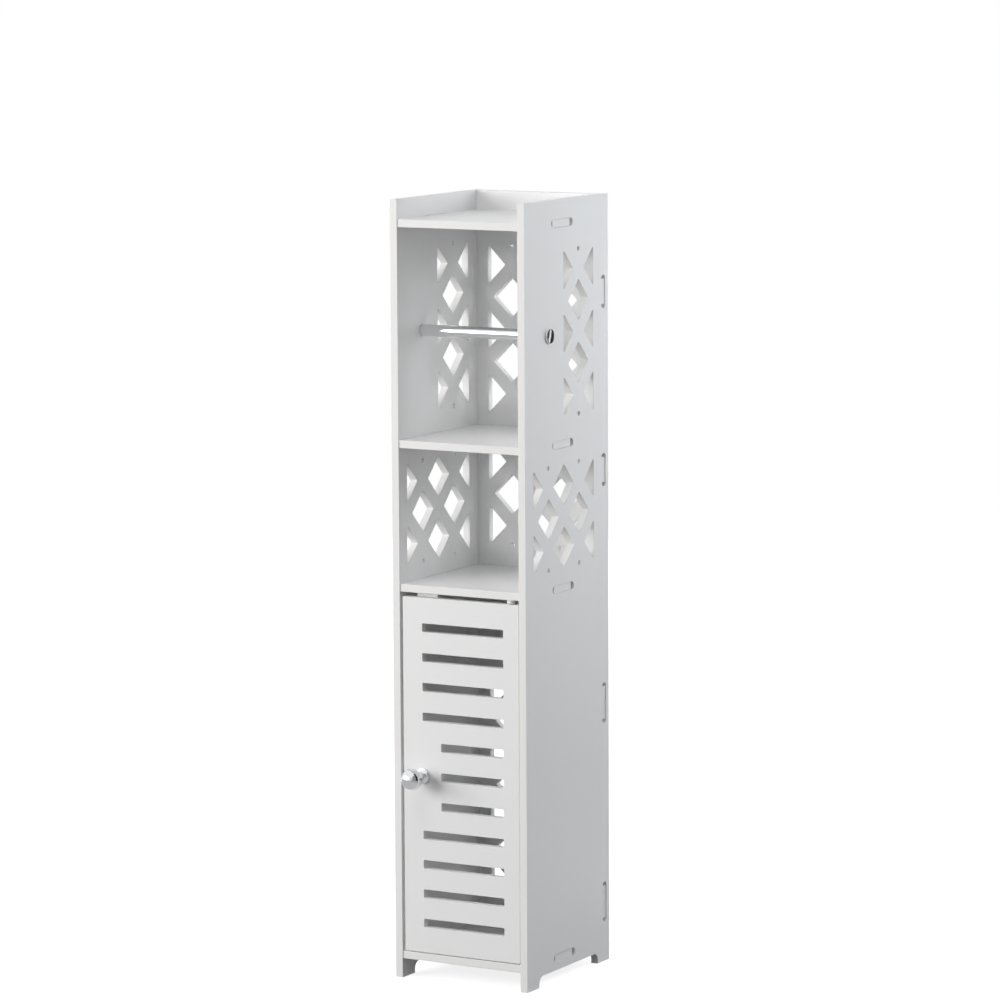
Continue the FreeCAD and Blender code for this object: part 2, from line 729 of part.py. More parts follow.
def strike_plate():
    plate = block("strike_plate", catch_x - cell("strike_width") / 2, door_inner,
                  strike_top - cell("strike_height"), cell("strike_width"),
                  cell("strike_thickness"), cell("strike_height"))
    hole = new_sketch(plate, "strike_hole", "XZ_Plane")
    hole_size = cell("small_screw") + fixed_play * 2
    add_circle(hole, cell("strike_width") / 2, cell("strike_screw_rise"), hole_size)
    pocket(plate, hole, backward=False)


def strike_screw():
    body = new_body("strike_screw")
    length = cell("strike_thickness") + cell("small_screw_grip")
    pan_screw(body, "strike_screw_profile", cell("small_screw"), length,
              cell("small_head"), cell("small_head_rise"))
    face_front(body, catch_x, door_inner + cell("strike_thickness"), strike_screw_z)


catch_housing()
block("catch_magnet", catch_x - cell("magnet_width") / 2, catch_front, magnet_bottom,
      cell("magnet_width"), cell("magnet_depth"), cell("magnet_height"))
catch_screws()
strike_plate()
strike_screw()


# Roll rod: a tube through both side panels with a head outside the right one and a plug at the left

rod_radius = cell("rod") / 2
rod_bore = rod_radius - cell("rod_wall")
head_seat = half_width + cell("running_gap")
rod_left = -half_width - cell("rod_overhang")


def lay_along_x(body, x, angle):
    turn(body, FreeCAD.Vector(0, 1, 0), angle)
    move(body, x, rod_y, roll_middle)


def rod_tube():
    body = new_body("roll_rod")
    length = head_seat - rod_left
    profile = [(rod_bore, ZERO), (rod_radius, ZERO), (rod_radius, length), (rod_bore, length)]
    turned(body, "rod_profile", profile)
    lay_along_x(body, rod_left, 90)


def rod_cap(label, radius, edge, x, angle):
    """A bevelled disc on the end of the tube with a spigot inside it."""
    body = new_body(label)
    inside = rod_bore - fixed_play
    spigot = -cell("spigot")
    bevel = edge / 2
    turned(body, f"{label}_profile", [(ZERO, spigot), (inside, spigot), (inside, ZERO), (radius, ZERO),
                                      (radius, edge - bevel), (radius - bevel, edge), (ZERO, edge)])
    lay_along_x(body, x, angle)


rod_tube()
rod_cap("rod_head", cell("rod_head") / 2, cell("rod_head_edge"), head_seat, 90)
rod_cap("rod_plug", rod_radius, cell("plug_edge"), rod_left, -90)


# Check every object, then write one file for each sub-part

doc.recompute()
faults = [item.Label for item in doc.Objects if {"Invalid", "Error"} & set(item.State)]
for part in sub_parts:
    if part.Shape.isNull() or not part.Shape.isValid():
        faults.append(part.Label)
if faults:
    raise RuntimeError(f"failed objects: {faults}")

os.makedirs("parts", exist_ok=True)
for part in sub_parts:
    part.Shape.exportStep(f"parts/{part.Label}.step")
    box = part.Shape.BoundBox
    print(f"{part.Label}: {len(part.Shape.Solids)} solid, {part.Shape.Volume:.1f} mm3, "
          f"x {box.XMin:.2f}..{box.XMax:.2f}, y {box.YMin:.2f}..{box.YMax:.2f}, "
          f"z {box.ZMin:.2f}..{box.ZMax:.2f}")
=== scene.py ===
# %% [markdown]
# # A slim bathroom cabinet in white board
#
# The object is a narrow cabinet that stands beside a toilet: a tray on top, a compartment with a rod across it, an
# open shelf, and a cupboard behind a louvred door. Every wall is cut from flat plastic sheet and the walls hold each
# other by tabs in slots. The lesson works the same way as the factory: draw a flat outline, add the openings that
# repeat by a rule, give the sheet its thickness, then ease the edges and choose the finish.
#
# The measured model is loaded first. It says where everything is, and none of it is moved.

# %% Load the measured model
import json
import math

import bmesh
import bpy
from mathutils import Matrix, Vector


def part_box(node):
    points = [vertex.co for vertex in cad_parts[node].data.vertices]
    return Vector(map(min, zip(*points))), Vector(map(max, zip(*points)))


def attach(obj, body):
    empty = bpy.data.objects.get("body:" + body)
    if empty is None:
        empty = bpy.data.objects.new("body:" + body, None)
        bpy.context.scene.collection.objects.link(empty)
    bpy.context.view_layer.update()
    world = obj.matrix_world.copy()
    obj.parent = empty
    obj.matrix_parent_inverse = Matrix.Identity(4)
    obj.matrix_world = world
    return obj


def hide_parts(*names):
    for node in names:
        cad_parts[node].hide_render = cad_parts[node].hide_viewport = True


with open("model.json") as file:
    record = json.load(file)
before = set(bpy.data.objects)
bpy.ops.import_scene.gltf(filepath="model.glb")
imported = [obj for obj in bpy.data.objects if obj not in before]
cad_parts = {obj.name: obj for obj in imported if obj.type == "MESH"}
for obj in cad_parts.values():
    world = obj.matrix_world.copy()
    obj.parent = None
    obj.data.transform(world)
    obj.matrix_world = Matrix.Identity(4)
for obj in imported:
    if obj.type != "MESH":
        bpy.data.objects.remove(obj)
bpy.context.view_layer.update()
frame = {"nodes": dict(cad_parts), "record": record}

MM = 0.001
MERGE = 0.001 * MM
record = frame["record"]
body_of = {node: body for body, nodes in record["behaviour"]["bodies"].items() for node in nodes}
slot_of = {part["node"]: part["material_slot"] for part in record["subparts"]}
print("measured pieces:", len(frame["nodes"]))

# %% [markdown]
# ## Small tools for node trees
#
# Both materials and Geometry Nodes are trees of nodes. Writing each node, its switches and its links by hand takes
# many lines, so three small helpers do it: one adds a node and fills its sockets with numbers or links, one does a
# sum, and one starts a Geometry Nodes tree whose inputs have names. A named input shows up on the modifier, where a
# learner can drag it and watch the shape follow.

# %% Helpers for node trees
def add_node(tree, kind, sockets=None, **switches):
    """Add a node. Each socket gets a number, or a link if the value is another node's output."""
    made = tree.nodes.new(kind)
    for name, value in switches.items():
        setattr(made, name, value)
    for key, value in (sockets or {}).items():
        if isinstance(value, bpy.types.NodeSocket):
            tree.links.new(value, made.inputs[key])
        else:
            made.inputs[key].default_value = value
    return made


def sum_of(tree, operation, *values):
    """The output of one Math node."""
    return add_node(tree, "ShaderNodeMath", dict(enumerate(values)), operation=operation).outputs[0]


def vector_of(tree, x=0.0, y=0.0, z=0.0):
    return add_node(tree, "ShaderNodeCombineXYZ", {"X": x, "Y": y, "Z": z}).outputs[0]


def new_tree(name, inputs):
    """A Geometry Nodes tree with a geometry input, the named inputs, and a geometry output."""
    tree = bpy.data.node_groups.new(name, "GeometryNodeTree")
    kinds = [("Geometry", "NodeSocketGeometry")] + inputs + [("Finish", "NodeSocketMaterial")]
    for label, kind in kinds:
        tree.interface.new_socket(label, in_out="INPUT", socket_type=kind)
    tree.interface.new_socket("Geometry", in_out="OUTPUT", socket_type="NodeSocketGeometry")
    return tree, tree.nodes.new("NodeGroupInput").outputs


def close_tree(tree, geometry, finish):
    """End a tree in Realize Instances and Set Material, so that it leaves plain geometry behind."""
    real = add_node(tree, "GeometryNodeRealizeInstances", {"Geometry": geometry})
    painted = add_node(tree, "GeometryNodeSetMaterial", {"Geometry": real.outputs[0], "Material": finish})
    tree.links.new(painted.outputs[0], tree.nodes.new("NodeGroupOutput").inputs[0])


def join(tree, *parts):
    joined = tree.nodes.new("GeometryNodeJoinGeometry")
    for part in parts:
        tree.links.new(part, joined.inputs[0])
    return joined.outputs[0]


print("node helpers are ready")

# %% [markdown]
# ## Finishes
#
# A real finish is never one flat colour. The boards are white foamed plastic: the rolled faces are satin with a very
# fine orange peel and drift a little in tone from place to place, while the sawn edges are duller and show the fine
# cells of the foam. One material does both, because each board carries an attribute that says which faces are sawn.
# The patterns read Object coordinates, which are metres here, so a texture scale of 900 means features of about a
# millimetre.

# %% White board
def new_finish(name):
    """An empty material and its parts: the tree, the shader and the Object coordinates."""
    material = bpy.data.materials.new(name)
    material.use_nodes = True
    tree = material.node_tree
    shader = tree.nodes["Principled BSDF"]
    place = tree.nodes.new("ShaderNodeTexCoord").outputs["Object"]
    return material, tree, shader, place


def noise(tree, place, scale, detail=2.0):
    made = add_node(tree, "ShaderNodeTexNoise", {"Vector": place, "Scale": scale, "Detail": detail})
    return made.outputs["Fac"]


def between(tree, amount, low, high):
    """Turn a pattern of 0 to 1 into values from low to high."""
    made = add_node(tree, "ShaderNodeMapRange", {"Value": amount, "To Min": low, "To Max": high})
    return made.outputs["Result"]


def blend_colours(tree, amount, first, second):
    made = tree.nodes.new("ShaderNodeMix")
    made.data_type = "RGBA"
    for socket, value in ((made.inputs["Factor"], amount), (made.inputs[6], first), (made.inputs[7], second)):
        if isinstance(value, bpy.types.NodeSocket):
            tree.links.new(value, socket)
        else:
            socket.default_value = value if isinstance(value, float) else (*value, 1.0)
    return made.outputs[2]


def bumps(tree, shader, height, strength, distance):
    made = add_node(tree, "ShaderNodeBump", {"Height": height, "Strength": strength, "Distance": distance})
    tree.links.new(made.outputs["Normal"], shader.inputs["Normal"])


def white_board():
    material, tree, shader, place = new_finish("white_board")
    sawn = add_node(tree, "ShaderNodeAttribute", attribute_name="sawn").outputs["Fac"]
    drift = noise(tree, place, 7.0, 3.0)
    face = blend_colours(tree, drift, (0.845, 0.847, 0.85), (0.875, 0.875, 0.872))
    cells = noise(tree, place, 1400.0, 3.0)
    edge = blend_colours(tree, cells, (0.83, 0.828, 0.82), (0.89, 0.888, 0.882))
    tree.links.new(blend_colours(tree, sawn, face, edge), shader.inputs["Base Color"])
    satin = between(tree, noise(tree, place, 45.0), 0.36, 0.48)
    dull = between(tree, cells, 0.55, 0.7)
    rough = add_node(tree, "ShaderNodeMix", {"Factor": sawn, "A": satin, "B": dull}).outputs["Result"]
    tree.links.new(rough, shader.inputs["Roughness"])
    peel = sum_of(tree, "MULTIPLY", noise(tree, place, 900.0), 0.35)
    grain = add_node(tree, "ShaderNodeMix", {"Factor": sawn, "A": peel, "B": cells}).outputs["Result"]
    bumps(tree, shader, grain, 0.25, 0.1 * MM)
    shader.inputs["IOR"].default_value = 1.53
    shader.inputs["Specular IOR Level"].default_value = 0.4
    return material


finishes = {"white_board": white_board()}
print("finish:", finishes["white_board"].name)

# %% [markdown]
# The small parts have finishes of their own. Moulded plastic is smoother than sheet and slightly glossy. Chrome is
# nearly a mirror with a haze of fine wiping marks. Zinc plating is a duller metal with cloudy patches, and the
# magnet is dark pressed ceramic with a visible grain.

# %% Plastic, metal and magnet
def moulded(name, low, high, gloss):
    material, tree, shader, place = new_finish(name)
    tone = blend_colours(tree, noise(tree, place, 60.0), low, high)
    tree.links.new(tone, shader.inputs["Base Color"])
    tree.links.new(between(tree, noise(tree, place, 300.0), gloss, gloss + 0.12), shader.inputs["Roughness"])
    bumps(tree, shader, noise(tree, place, 1800.0), 0.15, 0.05 * MM)
    shader.inputs["IOR"].default_value = 1.52
    return material


def metal(name, low, high, smooth, rough, stretch):
    """Metal whose roughness varies in marks drawn out along Z by the stretch."""
    material, tree, shader, place = new_finish(name)
    drawn = add_node(tree, "ShaderNodeMapping", {"Vector": place, "Scale": (1.0, 1.0, stretch)})
    marks = noise(tree, drawn.outputs[0], 700.0, 4.0)
    clouds = noise(tree, place, 120.0)
    tree.links.new(blend_colours(tree, clouds, low, high), shader.inputs["Base Color"])
    tree.links.new(between(tree, marks, smooth, rough), shader.inputs["Roughness"])
    bumps(tree, shader, marks, 0.06, 0.02 * MM)
    shader.inputs["Metallic"].default_value = 1.0
    return material


def pressed_magnet():
    material, tree, shader, place = new_finish("ferrite")
    grain = noise(tree, place, 2600.0, 4.0)
    tree.links.new(blend_colours(tree, grain, (0.06, 0.06, 0.065), (0.17, 0.17, 0.175)), shader.inputs["Base Color"])
    tree.links.new(between(tree, grain, 0.55, 0.8), shader.inputs["Roughness"])
    bumps(tree, shader, grain, 0.4, 0.1 * MM)
    return material


finishes["white_nylon"] = moulded("white_nylon", (0.86, 0.86, 0.845), (0.89, 0.89, 0.88), 0.3)
finishes["grey_plastic"] = moulded("grey_plastic", (0.5, 0.5, 0.51), (0.58, 0.58, 0.59), 0.35)
finishes["chrome"] = metal("chrome", (0.76, 0.77, 0.79), (0.83, 0.83, 0.84), 0.04, 0.12, 0.2)
finishes["zinc_steel"] = metal("zinc_steel", (0.55, 0.56, 0.58), (0.68, 0.69, 0.7), 0.24, 0.4, 1.0)
finishes["ferrite"] = pressed_magnet()
for node_name, node_object in frame["nodes"].items():
    node_object.data.materials.clear()
    node_object.data.materials.append(finishes[slot_of[node_name]])
print("finishes:", sorted(finishes))

# %% [markdown]
# ## How a board is made
#
# The back and sides are pierced by a trellis: square holes standing on their corners, in staggered rows, with halves
# along the two upright edges and a line of small round holes above and below. Cutting each hole by hand would be
# slow and hard to change. A Geometry Nodes tree can place them all from a few numbers: a grid of points, every
# second point kept, and an outline set on each one. A circle of four points is a square on its corner. The Fillet
# Curve node rounds the corners as the router's bit does.

# %% Tree: the outlines of a trellis
def trellis_tree():
    sizes = [("Middle", "NodeSocketVector"), ("Column Step", "NodeSocketFloat"), ("Row Step", "NodeSocketFloat"),
             ("Columns", "NodeSocketInt"), ("Rows", "NodeSocketInt"), ("Opening", "NodeSocketFloat"),
             ("Trim", "NodeSocketFloat"), ("Corner", "NodeSocketFloat"), ("Hole", "NodeSocketFloat"),
             ("Hole Step", "NodeSocketFloat"), ("Holes Above", "NodeSocketFloat"), ("Holes Below", "NodeSocketFloat")]
    tree, given = new_tree("trellis_outlines", sizes)
    across = sum_of(tree, "MULTIPLY", given["Columns"], given["Column Step"])
    along = sum_of(tree, "MULTIPLY", given["Rows"], given["Row Step"])
    grid = add_node(tree, "GeometryNodeMeshGrid", {
        "Size X": sum_of(tree, "MULTIPLY", across, 2.0), "Size Y": sum_of(tree, "MULTIPLY", along, 2.0),
        "Vertices X": sum_of(tree, "MULTIPLY_ADD", given["Columns"], 2.0, 1.0),
        "Vertices Y": sum_of(tree, "MULTIPLY_ADD", given["Rows"], 2.0, 1.0)}).outputs["Mesh"]
    spot = add_node(tree, "ShaderNodeSeparateXYZ", {0: tree.nodes.new("GeometryNodeInputPosition").outputs[0]})
    column = sum_of(tree, "ROUND", sum_of(tree, "DIVIDE", spot.outputs["X"], given["Column Step"]))
    row = sum_of(tree, "ROUND", sum_of(tree, "DIVIDE", spot.outputs["Y"], given["Row Step"]))
    corner_count = sum_of(tree, "ADD", given["Columns"], given["Rows"])
    order = sum_of(tree, "ADD", sum_of(tree, "ADD", column, row), corner_count)
    kept = sum_of(tree, "LESS_THAN", sum_of(tree, "FLOORED_MODULO", order, 2.0), 0.5)
    last_column = sum_of(tree, "SUBTRACT", given["Columns"], 0.5)
    inside = sum_of(tree, "LESS_THAN", sum_of(tree, "ABSOLUTE", column), last_column)
    at_edge = sum_of(tree, "SUBTRACT", 1.0, inside)

    half = sum_of(tree, "DIVIDE", given["Opening"], 2.0)
    whole_shape = add_node(tree, "GeometryNodeCurvePrimitiveCircle", {"Resolution": 4, "Radius": half})
    trim = given["Trim"]
    rise = sum_of(tree, "SUBTRACT", half, trim)
    half_shape = add_node(tree, "GeometryNodeCurvePrimitiveQuadrilateral", {
        "Point 1": vector_of(tree, trim, sum_of(tree, "MULTIPLY", rise, -1.0)), "Point 2": vector_of(tree, half),
        "Point 3": vector_of(tree, trim, rise), "Point 4": vector_of(tree, trim)}, mode="POINTS")
    whole = add_node(tree, "GeometryNodeInstanceOnPoints", {
        "Points": grid, "Selection": sum_of(tree, "MULTIPLY", kept, inside), "Instance": whole_shape.outputs[0]})
    facing = sum_of(tree, "MULTIPLY", sum_of(tree, "GREATER_THAN", column, 0.0), math.pi)
    halves = add_node(tree, "GeometryNodeInstanceOnPoints", {
        "Points": grid, "Selection": sum_of(tree, "MULTIPLY", kept, at_edge), "Instance": half_shape.outputs[0],
        "Rotation": vector_of(tree, z=facing)})
    openings = add_node(tree, "GeometryNodeRealizeInstances", {
        "Geometry": join(tree, whole.outputs[0], halves.outputs[0])})
    rounded = add_node(tree, "GeometryNodeFilletCurve", {
        "Curve": openings.outputs[0], "Count": 4, "Radius": given["Corner"], "Limit Radius": True}, mode="POLY")

    hole_rows = add_node(tree, "GeometryNodeMeshGrid", {
        "Size X": sum_of(tree, "MULTIPLY", sum_of(tree, "SUBTRACT", across, given["Column Step"]), 2.0),
        "Size Y": sum_of(tree, "MULTIPLY", sum_of(tree, "ADD", along, given["Hole Step"]), 2.0),
        "Vertices X": given["Columns"], "Vertices Y": 2}).outputs["Mesh"]
    hole_shape = add_node(tree, "GeometryNodeCurvePrimitiveCircle", {
        "Resolution": 24, "Radius": sum_of(tree, "DIVIDE", given["Hole"], 2.0)})
    upper = sum_of(tree, "GREATER_THAN", spot.outputs["Y"], 0.0)
    wanted = sum_of(tree, "MULTIPLY_ADD", upper, sum_of(tree, "SUBTRACT", given["Holes Above"], given["Holes Below"]),
                    given["Holes Below"])
    holes = add_node(tree, "GeometryNodeInstanceOnPoints", {
        "Points": hole_rows, "Selection": sum_of(tree, "GREATER_THAN", wanted, 0.5),
        "Instance": hole_shape.outputs[0]})
    field = add_node(tree, "GeometryNodeTransform", {
        "Geometry": join(tree, rounded.outputs[0], holes.outputs[0]), "Translation": given["Middle"]})
    close_tree(tree, join(tree, given["Geometry"], field.outputs[0]), given["Finish"])
    return tree


trellis = trellis_tree()
print("tree:", trellis.name, "with", len(trellis.nodes), "nodes")

# %% [markdown]
# The door has a plainer rule: slots of one size at an even pitch. The tree is a line of points with a rectangle on
# each. It is used three times, because the slots beside the knob are shorter than the others.

# %% Tree: the outlines of a row of louvre slots
def louvre_tree():
    sizes = [("Lowest", "NodeSocketVector"), ("Pitch", "NodeSocketFloat"), ("Count", "NodeSocketInt"),
             ("Length", "NodeSocketFloat"), ("Slot Height", "NodeSocketFloat"), ("Corner", "NodeSocketFloat")]
    tree, given = new_tree("louvre_outlines", sizes)
    ladder = add_node(tree, "GeometryNodeMeshLine", {
        "Count": given["Count"], "Start Location": given["Lowest"], "Offset": vector_of(tree, y=given["Pitch"])})
    shape = add_node(tree, "GeometryNodeCurvePrimitiveQuadrilateral", {
        "Width": given["Length"], "Height": given["Slot Height"]}, mode="RECTANGLE")
    slots = add_node(tree, "GeometryNodeInstanceOnPoints", {
        "Points": ladder.outputs[0], "Instance": shape.outputs[0]})
    real = add_node(tree, "GeometryNodeRealizeInstances", {"Geometry": slots.outputs[0]})
    rounded = add_node(tree, "GeometryNodeFilletCurve", {
        "Curve": real.outputs[0], "Count": 4, "Radius": given["Corner"], "Limit Radius": True}, mode="POLY")
    close_tree(tree, join(tree, given["Geometry"], rounded.outputs[0]), given["Finish"])
    return tree


louvres = louvre_tree()
print("tree:", louvres.name, "with", len(louvres.nodes), "nodes")

# %% [markdown]
# The last tree turns outlines into a board. Fill Curve makes one flat face that leaves every inner outline open, and
# Extrude Mesh gives it thickness. Extruding a face leaves the old side open, so a flipped copy of the flat face
# closes it. A boolean could cut the same holes, but filling outlines is faster and leaves cleaner edges to bevel.

# %% Tree: outlines to a board
def board_tree():
    sizes = [("Thickness", "NodeSocketFloat"), ("Turn", "NodeSocketRotation"), ("Place", "NodeSocketVector")]
    tree, given = new_tree("sawn_board", sizes)
    parts = add_node(tree, "GeometryNodeSeparateComponents", {"Geometry": given["Geometry"]})
    drawn = add_node(tree, "GeometryNodeMeshToCurve", {"Mesh": parts.outputs["Mesh"]})
    outlines = join(tree, drawn.outputs[0], parts.outputs["Curve"])
    flat = add_node(tree, "GeometryNodeFillCurve", {"Curve": outlines}, mode="NGONS").outputs[0]
    raised = add_node(tree, "GeometryNodeExtrudeMesh", {
        "Mesh": flat, "Offset": vector_of(tree, z=given["Thickness"]), "Offset Scale": 1.0,
        "Individual": False}, mode="FACES")
    under = add_node(tree, "GeometryNodeFlipFaces", {"Mesh": flat})
    closed = add_node(tree, "GeometryNodeMergeByDistance", {
        "Geometry": join(tree, raised.outputs["Mesh"], under.outputs[0]), "Distance": MERGE})
    placed = add_node(tree, "GeometryNodeTransform", {
        "Geometry": closed.outputs[0], "Translation": given["Place"], "Rotation": given["Turn"]})
    close_tree(tree, placed.outputs[0], given["Finish"])
    return tree


sawn_board = board_tree()
print("tree:", sawn_board.name, "with", len(sawn_board.nodes), "nodes")

# %% [markdown]
# ## From outlines to finished boards
#
# An outline is drawn as a loop of edges in the flat, in metres. Straight parts need only their corners, and round
# ends are arcs of short steps. The loops become one wire mesh, the trees run on it as modifiers, and the result is
# turned into a plain mesh. A Bevel modifier then eases every sharp edge by half a millimetre, which is what makes a
# board catch light along its edges. Last, the piece takes its place on the body that carries it.

# %% Helpers: outlines, trees on objects, and dressing a piece
def arc(centre, radius, start, end, steps=12):
    """Points along an arc, with its angles in degrees."""
    angles = [math.radians(start + (end - start) * i / steps) for i in range(steps + 1)]
    return [(centre[0] + radius * math.cos(a), centre[1] + radius * math.sin(a)) for a in angles]


def rectangle(left, right, bottom, top):
    return [(left, bottom), (right, bottom), (right, top), (left, top)]


def slot_outline(middle, length, width, upright):
    """A slot with straight sides of this length and half round ends."""
    x, y = middle
    reach = length / 2
    if upright:
        return arc((x, y + reach), width / 2, 0, 180) + arc((x, y - reach), width / 2, 180, 360)
    return arc((x + reach, y), width / 2, -90, 90) + arc((x - reach, y), width / 2, 90, 270)


def wire_object(name, loops):
    mesh = bpy.data.meshes.new(name)
    points, edges = [], []
    for loop in loops:
        first = len(points)
        points += [(x, y, 0.0) for x, y in loop]
        edges += [(first + i, first + (i + 1) % len(loop)) for i in range(len(loop))]
    mesh.from_pydata(points, edges, [])
    made = bpy.data.objects.new(name, mesh)
    bpy.context.scene.collection.objects.link(made)
    return made


def add_tree(target, tree, finish, **values):
    """Put a tree on an object as a modifier and set its inputs by their identifiers."""
    modifier = target.modifiers.new(tree.name, "NODES")
    modifier.node_group = tree
    values["finish"] = finish
    for item in tree.interface.items_tree:
        key = item.name.lower().replace(" ", "_")
        if item.in_out == "INPUT" and key in values:
            modifier[item.identifier] = values[key]


def make_plain(target):
    """Replace an object's modifiers by the plain mesh that they give."""
    bpy.context.view_layer.update()
    graph = bpy.context.evaluated_depsgraph_get()
    mesh = bpy.data.meshes.new_from_object(target.evaluated_get(graph), depsgraph=graph)
    mesh.name = target.name
    target.modifiers.clear()
    target.data = mesh
    work = bmesh.new()
    work.from_mesh(mesh)
    bmesh.ops.remove_doubles(work, verts=work.verts, dist=MERGE)
    bmesh.ops.recalc_face_normals(work, faces=work.faces)
    work.to_mesh(mesh)
    work.free()
    return mesh


def ease_edges(target, width, segments=2):
    modifier = target.modifiers.new("eased_edges", "BEVEL")
    modifier.width = width
    modifier.segments = segments
    modifier.limit_method = "ANGLE"
    modifier.angle_limit = math.radians(40)
    modifier.harden_normals = True
    target.data.shade_smooth()


def dress(target, *nodes):
    """Give a piece its finish and let it stand for measured nodes, riding on their body."""
    slot = slot_of[nodes[0]]
    target.data.materials.clear()
    target.data.materials.append(finishes[slot])
    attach(target, body_of[nodes[0]])
    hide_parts(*nodes)


EASE = 0.5 * MM


def make_board(node, loops, passes, turn, place):
    """Cut a board that stands for a node: loops that are listed, then trees that add the openings."""
    low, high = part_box(node)
    thickness = min(high - low)
    target = wire_object(node + "_board", loops)
    finish = finishes[slot_of[node]]
    for tree, values in passes:
        add_tree(target, tree, finish, **values)
    add_tree(target, sawn_board, finish, thickness=thickness, turn=turn, place=place)
    mesh = make_plain(target)
    for point in mesh.vertices:
        point.co = [round(c, 6) for c in point.co]
    normal_axis = list(high - low).index(thickness)
    sawn = mesh.attributes.new("sawn", "FLOAT", "FACE")
    for face in mesh.polygons:
        sawn.data[face.index].value = 0.0 if abs(face.normal[normal_axis]) > 0.5 else 1.0
    ease_edges(target, EASE)
    dress(target, node)
    print(target.name, len(mesh.polygons), "faces, box in mm:", [round(c / MM, 1) for c in target.dimensions])
    return target


FLAT = (0.0, 0.0, 0.0)
FACING_FRONT = (math.pi / 2, 0.0, 0.0)
FACING_SIDE = (math.pi / 2, 0.0, math.pi / 2)
print("board helpers are ready")

# %% [markdown]
# ## Side panels
#
# The two sides run from floor to rim. Each has an arch between two feet, eight slots with round ends for the tabs of
# the shelves and back, a hole for the rod, and two fields of trellis. The slots are drawn one by one because they
# follow the other boards rather than a rule of their own. Their heights come from the measured shelves.

# %% Cut the side panels
side_low, side_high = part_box("left_side_panel")
board = side_high.x - side_low.x
front, rear, height = side_low.y, side_high.y, side_high.z
shelf_names = ("top_shelf", "middle_shelf", "lower_shelf", "bottom_shelf")
shelf_middle = {name: (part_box(name)[0].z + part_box(name)[1].z) / 2 for name in shelf_names}
back_low, back_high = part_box("upper_back_panel")
back_middle = (back_low.y + back_high.y) / 2

TAB_PLAY = 0.4 * MM
SHELF_TAB = 36 * MM
SHELF_TAB_MIDDLE = front + 78 * MM
UPPER_TAB = 26 * MM
LOWER_TAB = 34 * MM
ROLL_TAB_DROP = 76 * MM
OPEN_TAB_DROP = 36 * MM
CUPBOARD_TAB_DROP = 132 * MM
CUPBOARD_TAB_RISE = 39 * MM
upper_tabs = [shelf_middle["top_shelf"] - ROLL_TAB_DROP, shelf_middle["middle_shelf"] - OPEN_TAB_DROP]
lower_tabs = [shelf_middle["lower_shelf"] - CUPBOARD_TAB_DROP, shelf_middle["bottom_shelf"] + CUPBOARD_TAB_RISE]
FOOT = 25 * MM
ARCH_HEIGHT = 11.5 * MM
ARCH_ROUND = 8 * MM
rod_low, rod_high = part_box("roll_rod")
rod_middle = (rod_low + rod_high) / 2
ROD_PLAY = 0.5 * MM
ROD_HOLE = rod_high.z - rod_low.z + ROD_PLAY

TRELLIS = {"opening": 42.5 * MM, "trim": 0.5 * MM, "corner": 1.2 * MM, "hole": 5 * MM, "hole_step": 20 * MM}
SIDE_STEP = 32 * MM
TRELLIS_REAR = 31 * MM
roll_middle = rod_middle.z
open_middle = (shelf_middle["middle_shelf"] + shelf_middle["lower_shelf"]) / 2


def side_outline():
    lift = ARCH_HEIGHT - ARCH_ROUND
    front_end, rear_end = front + FOOT, rear - FOOT
    arch = arc((front_end + ARCH_ROUND, lift), ARCH_ROUND, 180, 90)
    arch += arc((rear_end - ARCH_ROUND, lift), ARCH_ROUND, 90, 0)
    return [(front, 0.0), (front_end, 0.0)] + arch + [(rear_end, 0.0), (rear, 0.0), (rear, height), (front, height)]


def side_loops():
    loops = [side_outline()]
    width = board + TAB_PLAY
    for middle in shelf_middle.values():
        loops.append(slot_outline((SHELF_TAB_MIDDLE, middle), SHELF_TAB + TAB_PLAY, width, False))
    for heights, length in ((upper_tabs, UPPER_TAB), (lower_tabs, LOWER_TAB)):
        for middle in heights:
            loops.append(slot_outline((back_middle, middle), length + TAB_PLAY, width, True))
    loops.append(arc((rod_middle.y, rod_middle.z), ROD_HOLE / 2, 0, 360, 40)[:-1])
    return loops


def side_field(columns, rows, middle):
    across = rear - TRELLIS_REAR - columns * SIDE_STEP
    return trellis, dict(TRELLIS, column_step=SIDE_STEP, row_step=SIDE_STEP, columns=columns, rows=rows,
                         middle=(across, middle, 0.0), holes_above=1.0, holes_below=1.0)


side_fields = [side_field(1, 2, roll_middle), side_field(2, 1, open_middle)]
for name in ("left_side_panel", "right_side_panel"):
    make_board(name, side_loops(), side_fields, FACING_SIDE, (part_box(name)[0].x, 0.0, 0.0))

# %% [markdown]
# ## Back panels
#
# Two boards close the back and meet behind the lower shelf. Their tabs go through the sides, so the outline steps
# out at each tab. The same trellis tree pierces them with a narrower column step. The outline of one half is drawn
# and mirrored, which keeps left and right the same.

# %% Cut the back panels
inner = side_low.x + board
tab_tip = back_low.x


def mirrored(right_half):
    """Close an outline whose right half is listed from end to end."""
    return right_half + [(-x, y) for x, y in reversed(right_half)]


def back_outline(node, heights, length):
    low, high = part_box(node)
    right = [(-inner, high.z)]
    for middle in heights:
        upper, lower = middle + length / 2, middle - length / 2
        right += [(-inner, upper), (-tab_tip, upper), (-tab_tip, lower), (-inner, lower)]
    return mirrored(right + [(-inner, low.z)])


BACK_COLUMN_STEP = 28.25 * MM
BACK_ROW_STEP = 33.5 * MM
ROLL_TRELLIS_DROP = 7.5 * MM
OPEN_TRELLIS_LIFT = 6.5 * MM
CUPBOARD_TRELLIS_RISE = 153 * MM


def back_field(rows, middle, above, below):
    return trellis, dict(TRELLIS, column_step=BACK_COLUMN_STEP, row_step=BACK_ROW_STEP, columns=2, rows=rows,
                         middle=(0.0, middle, 0.0), holes_above=above, holes_below=below)


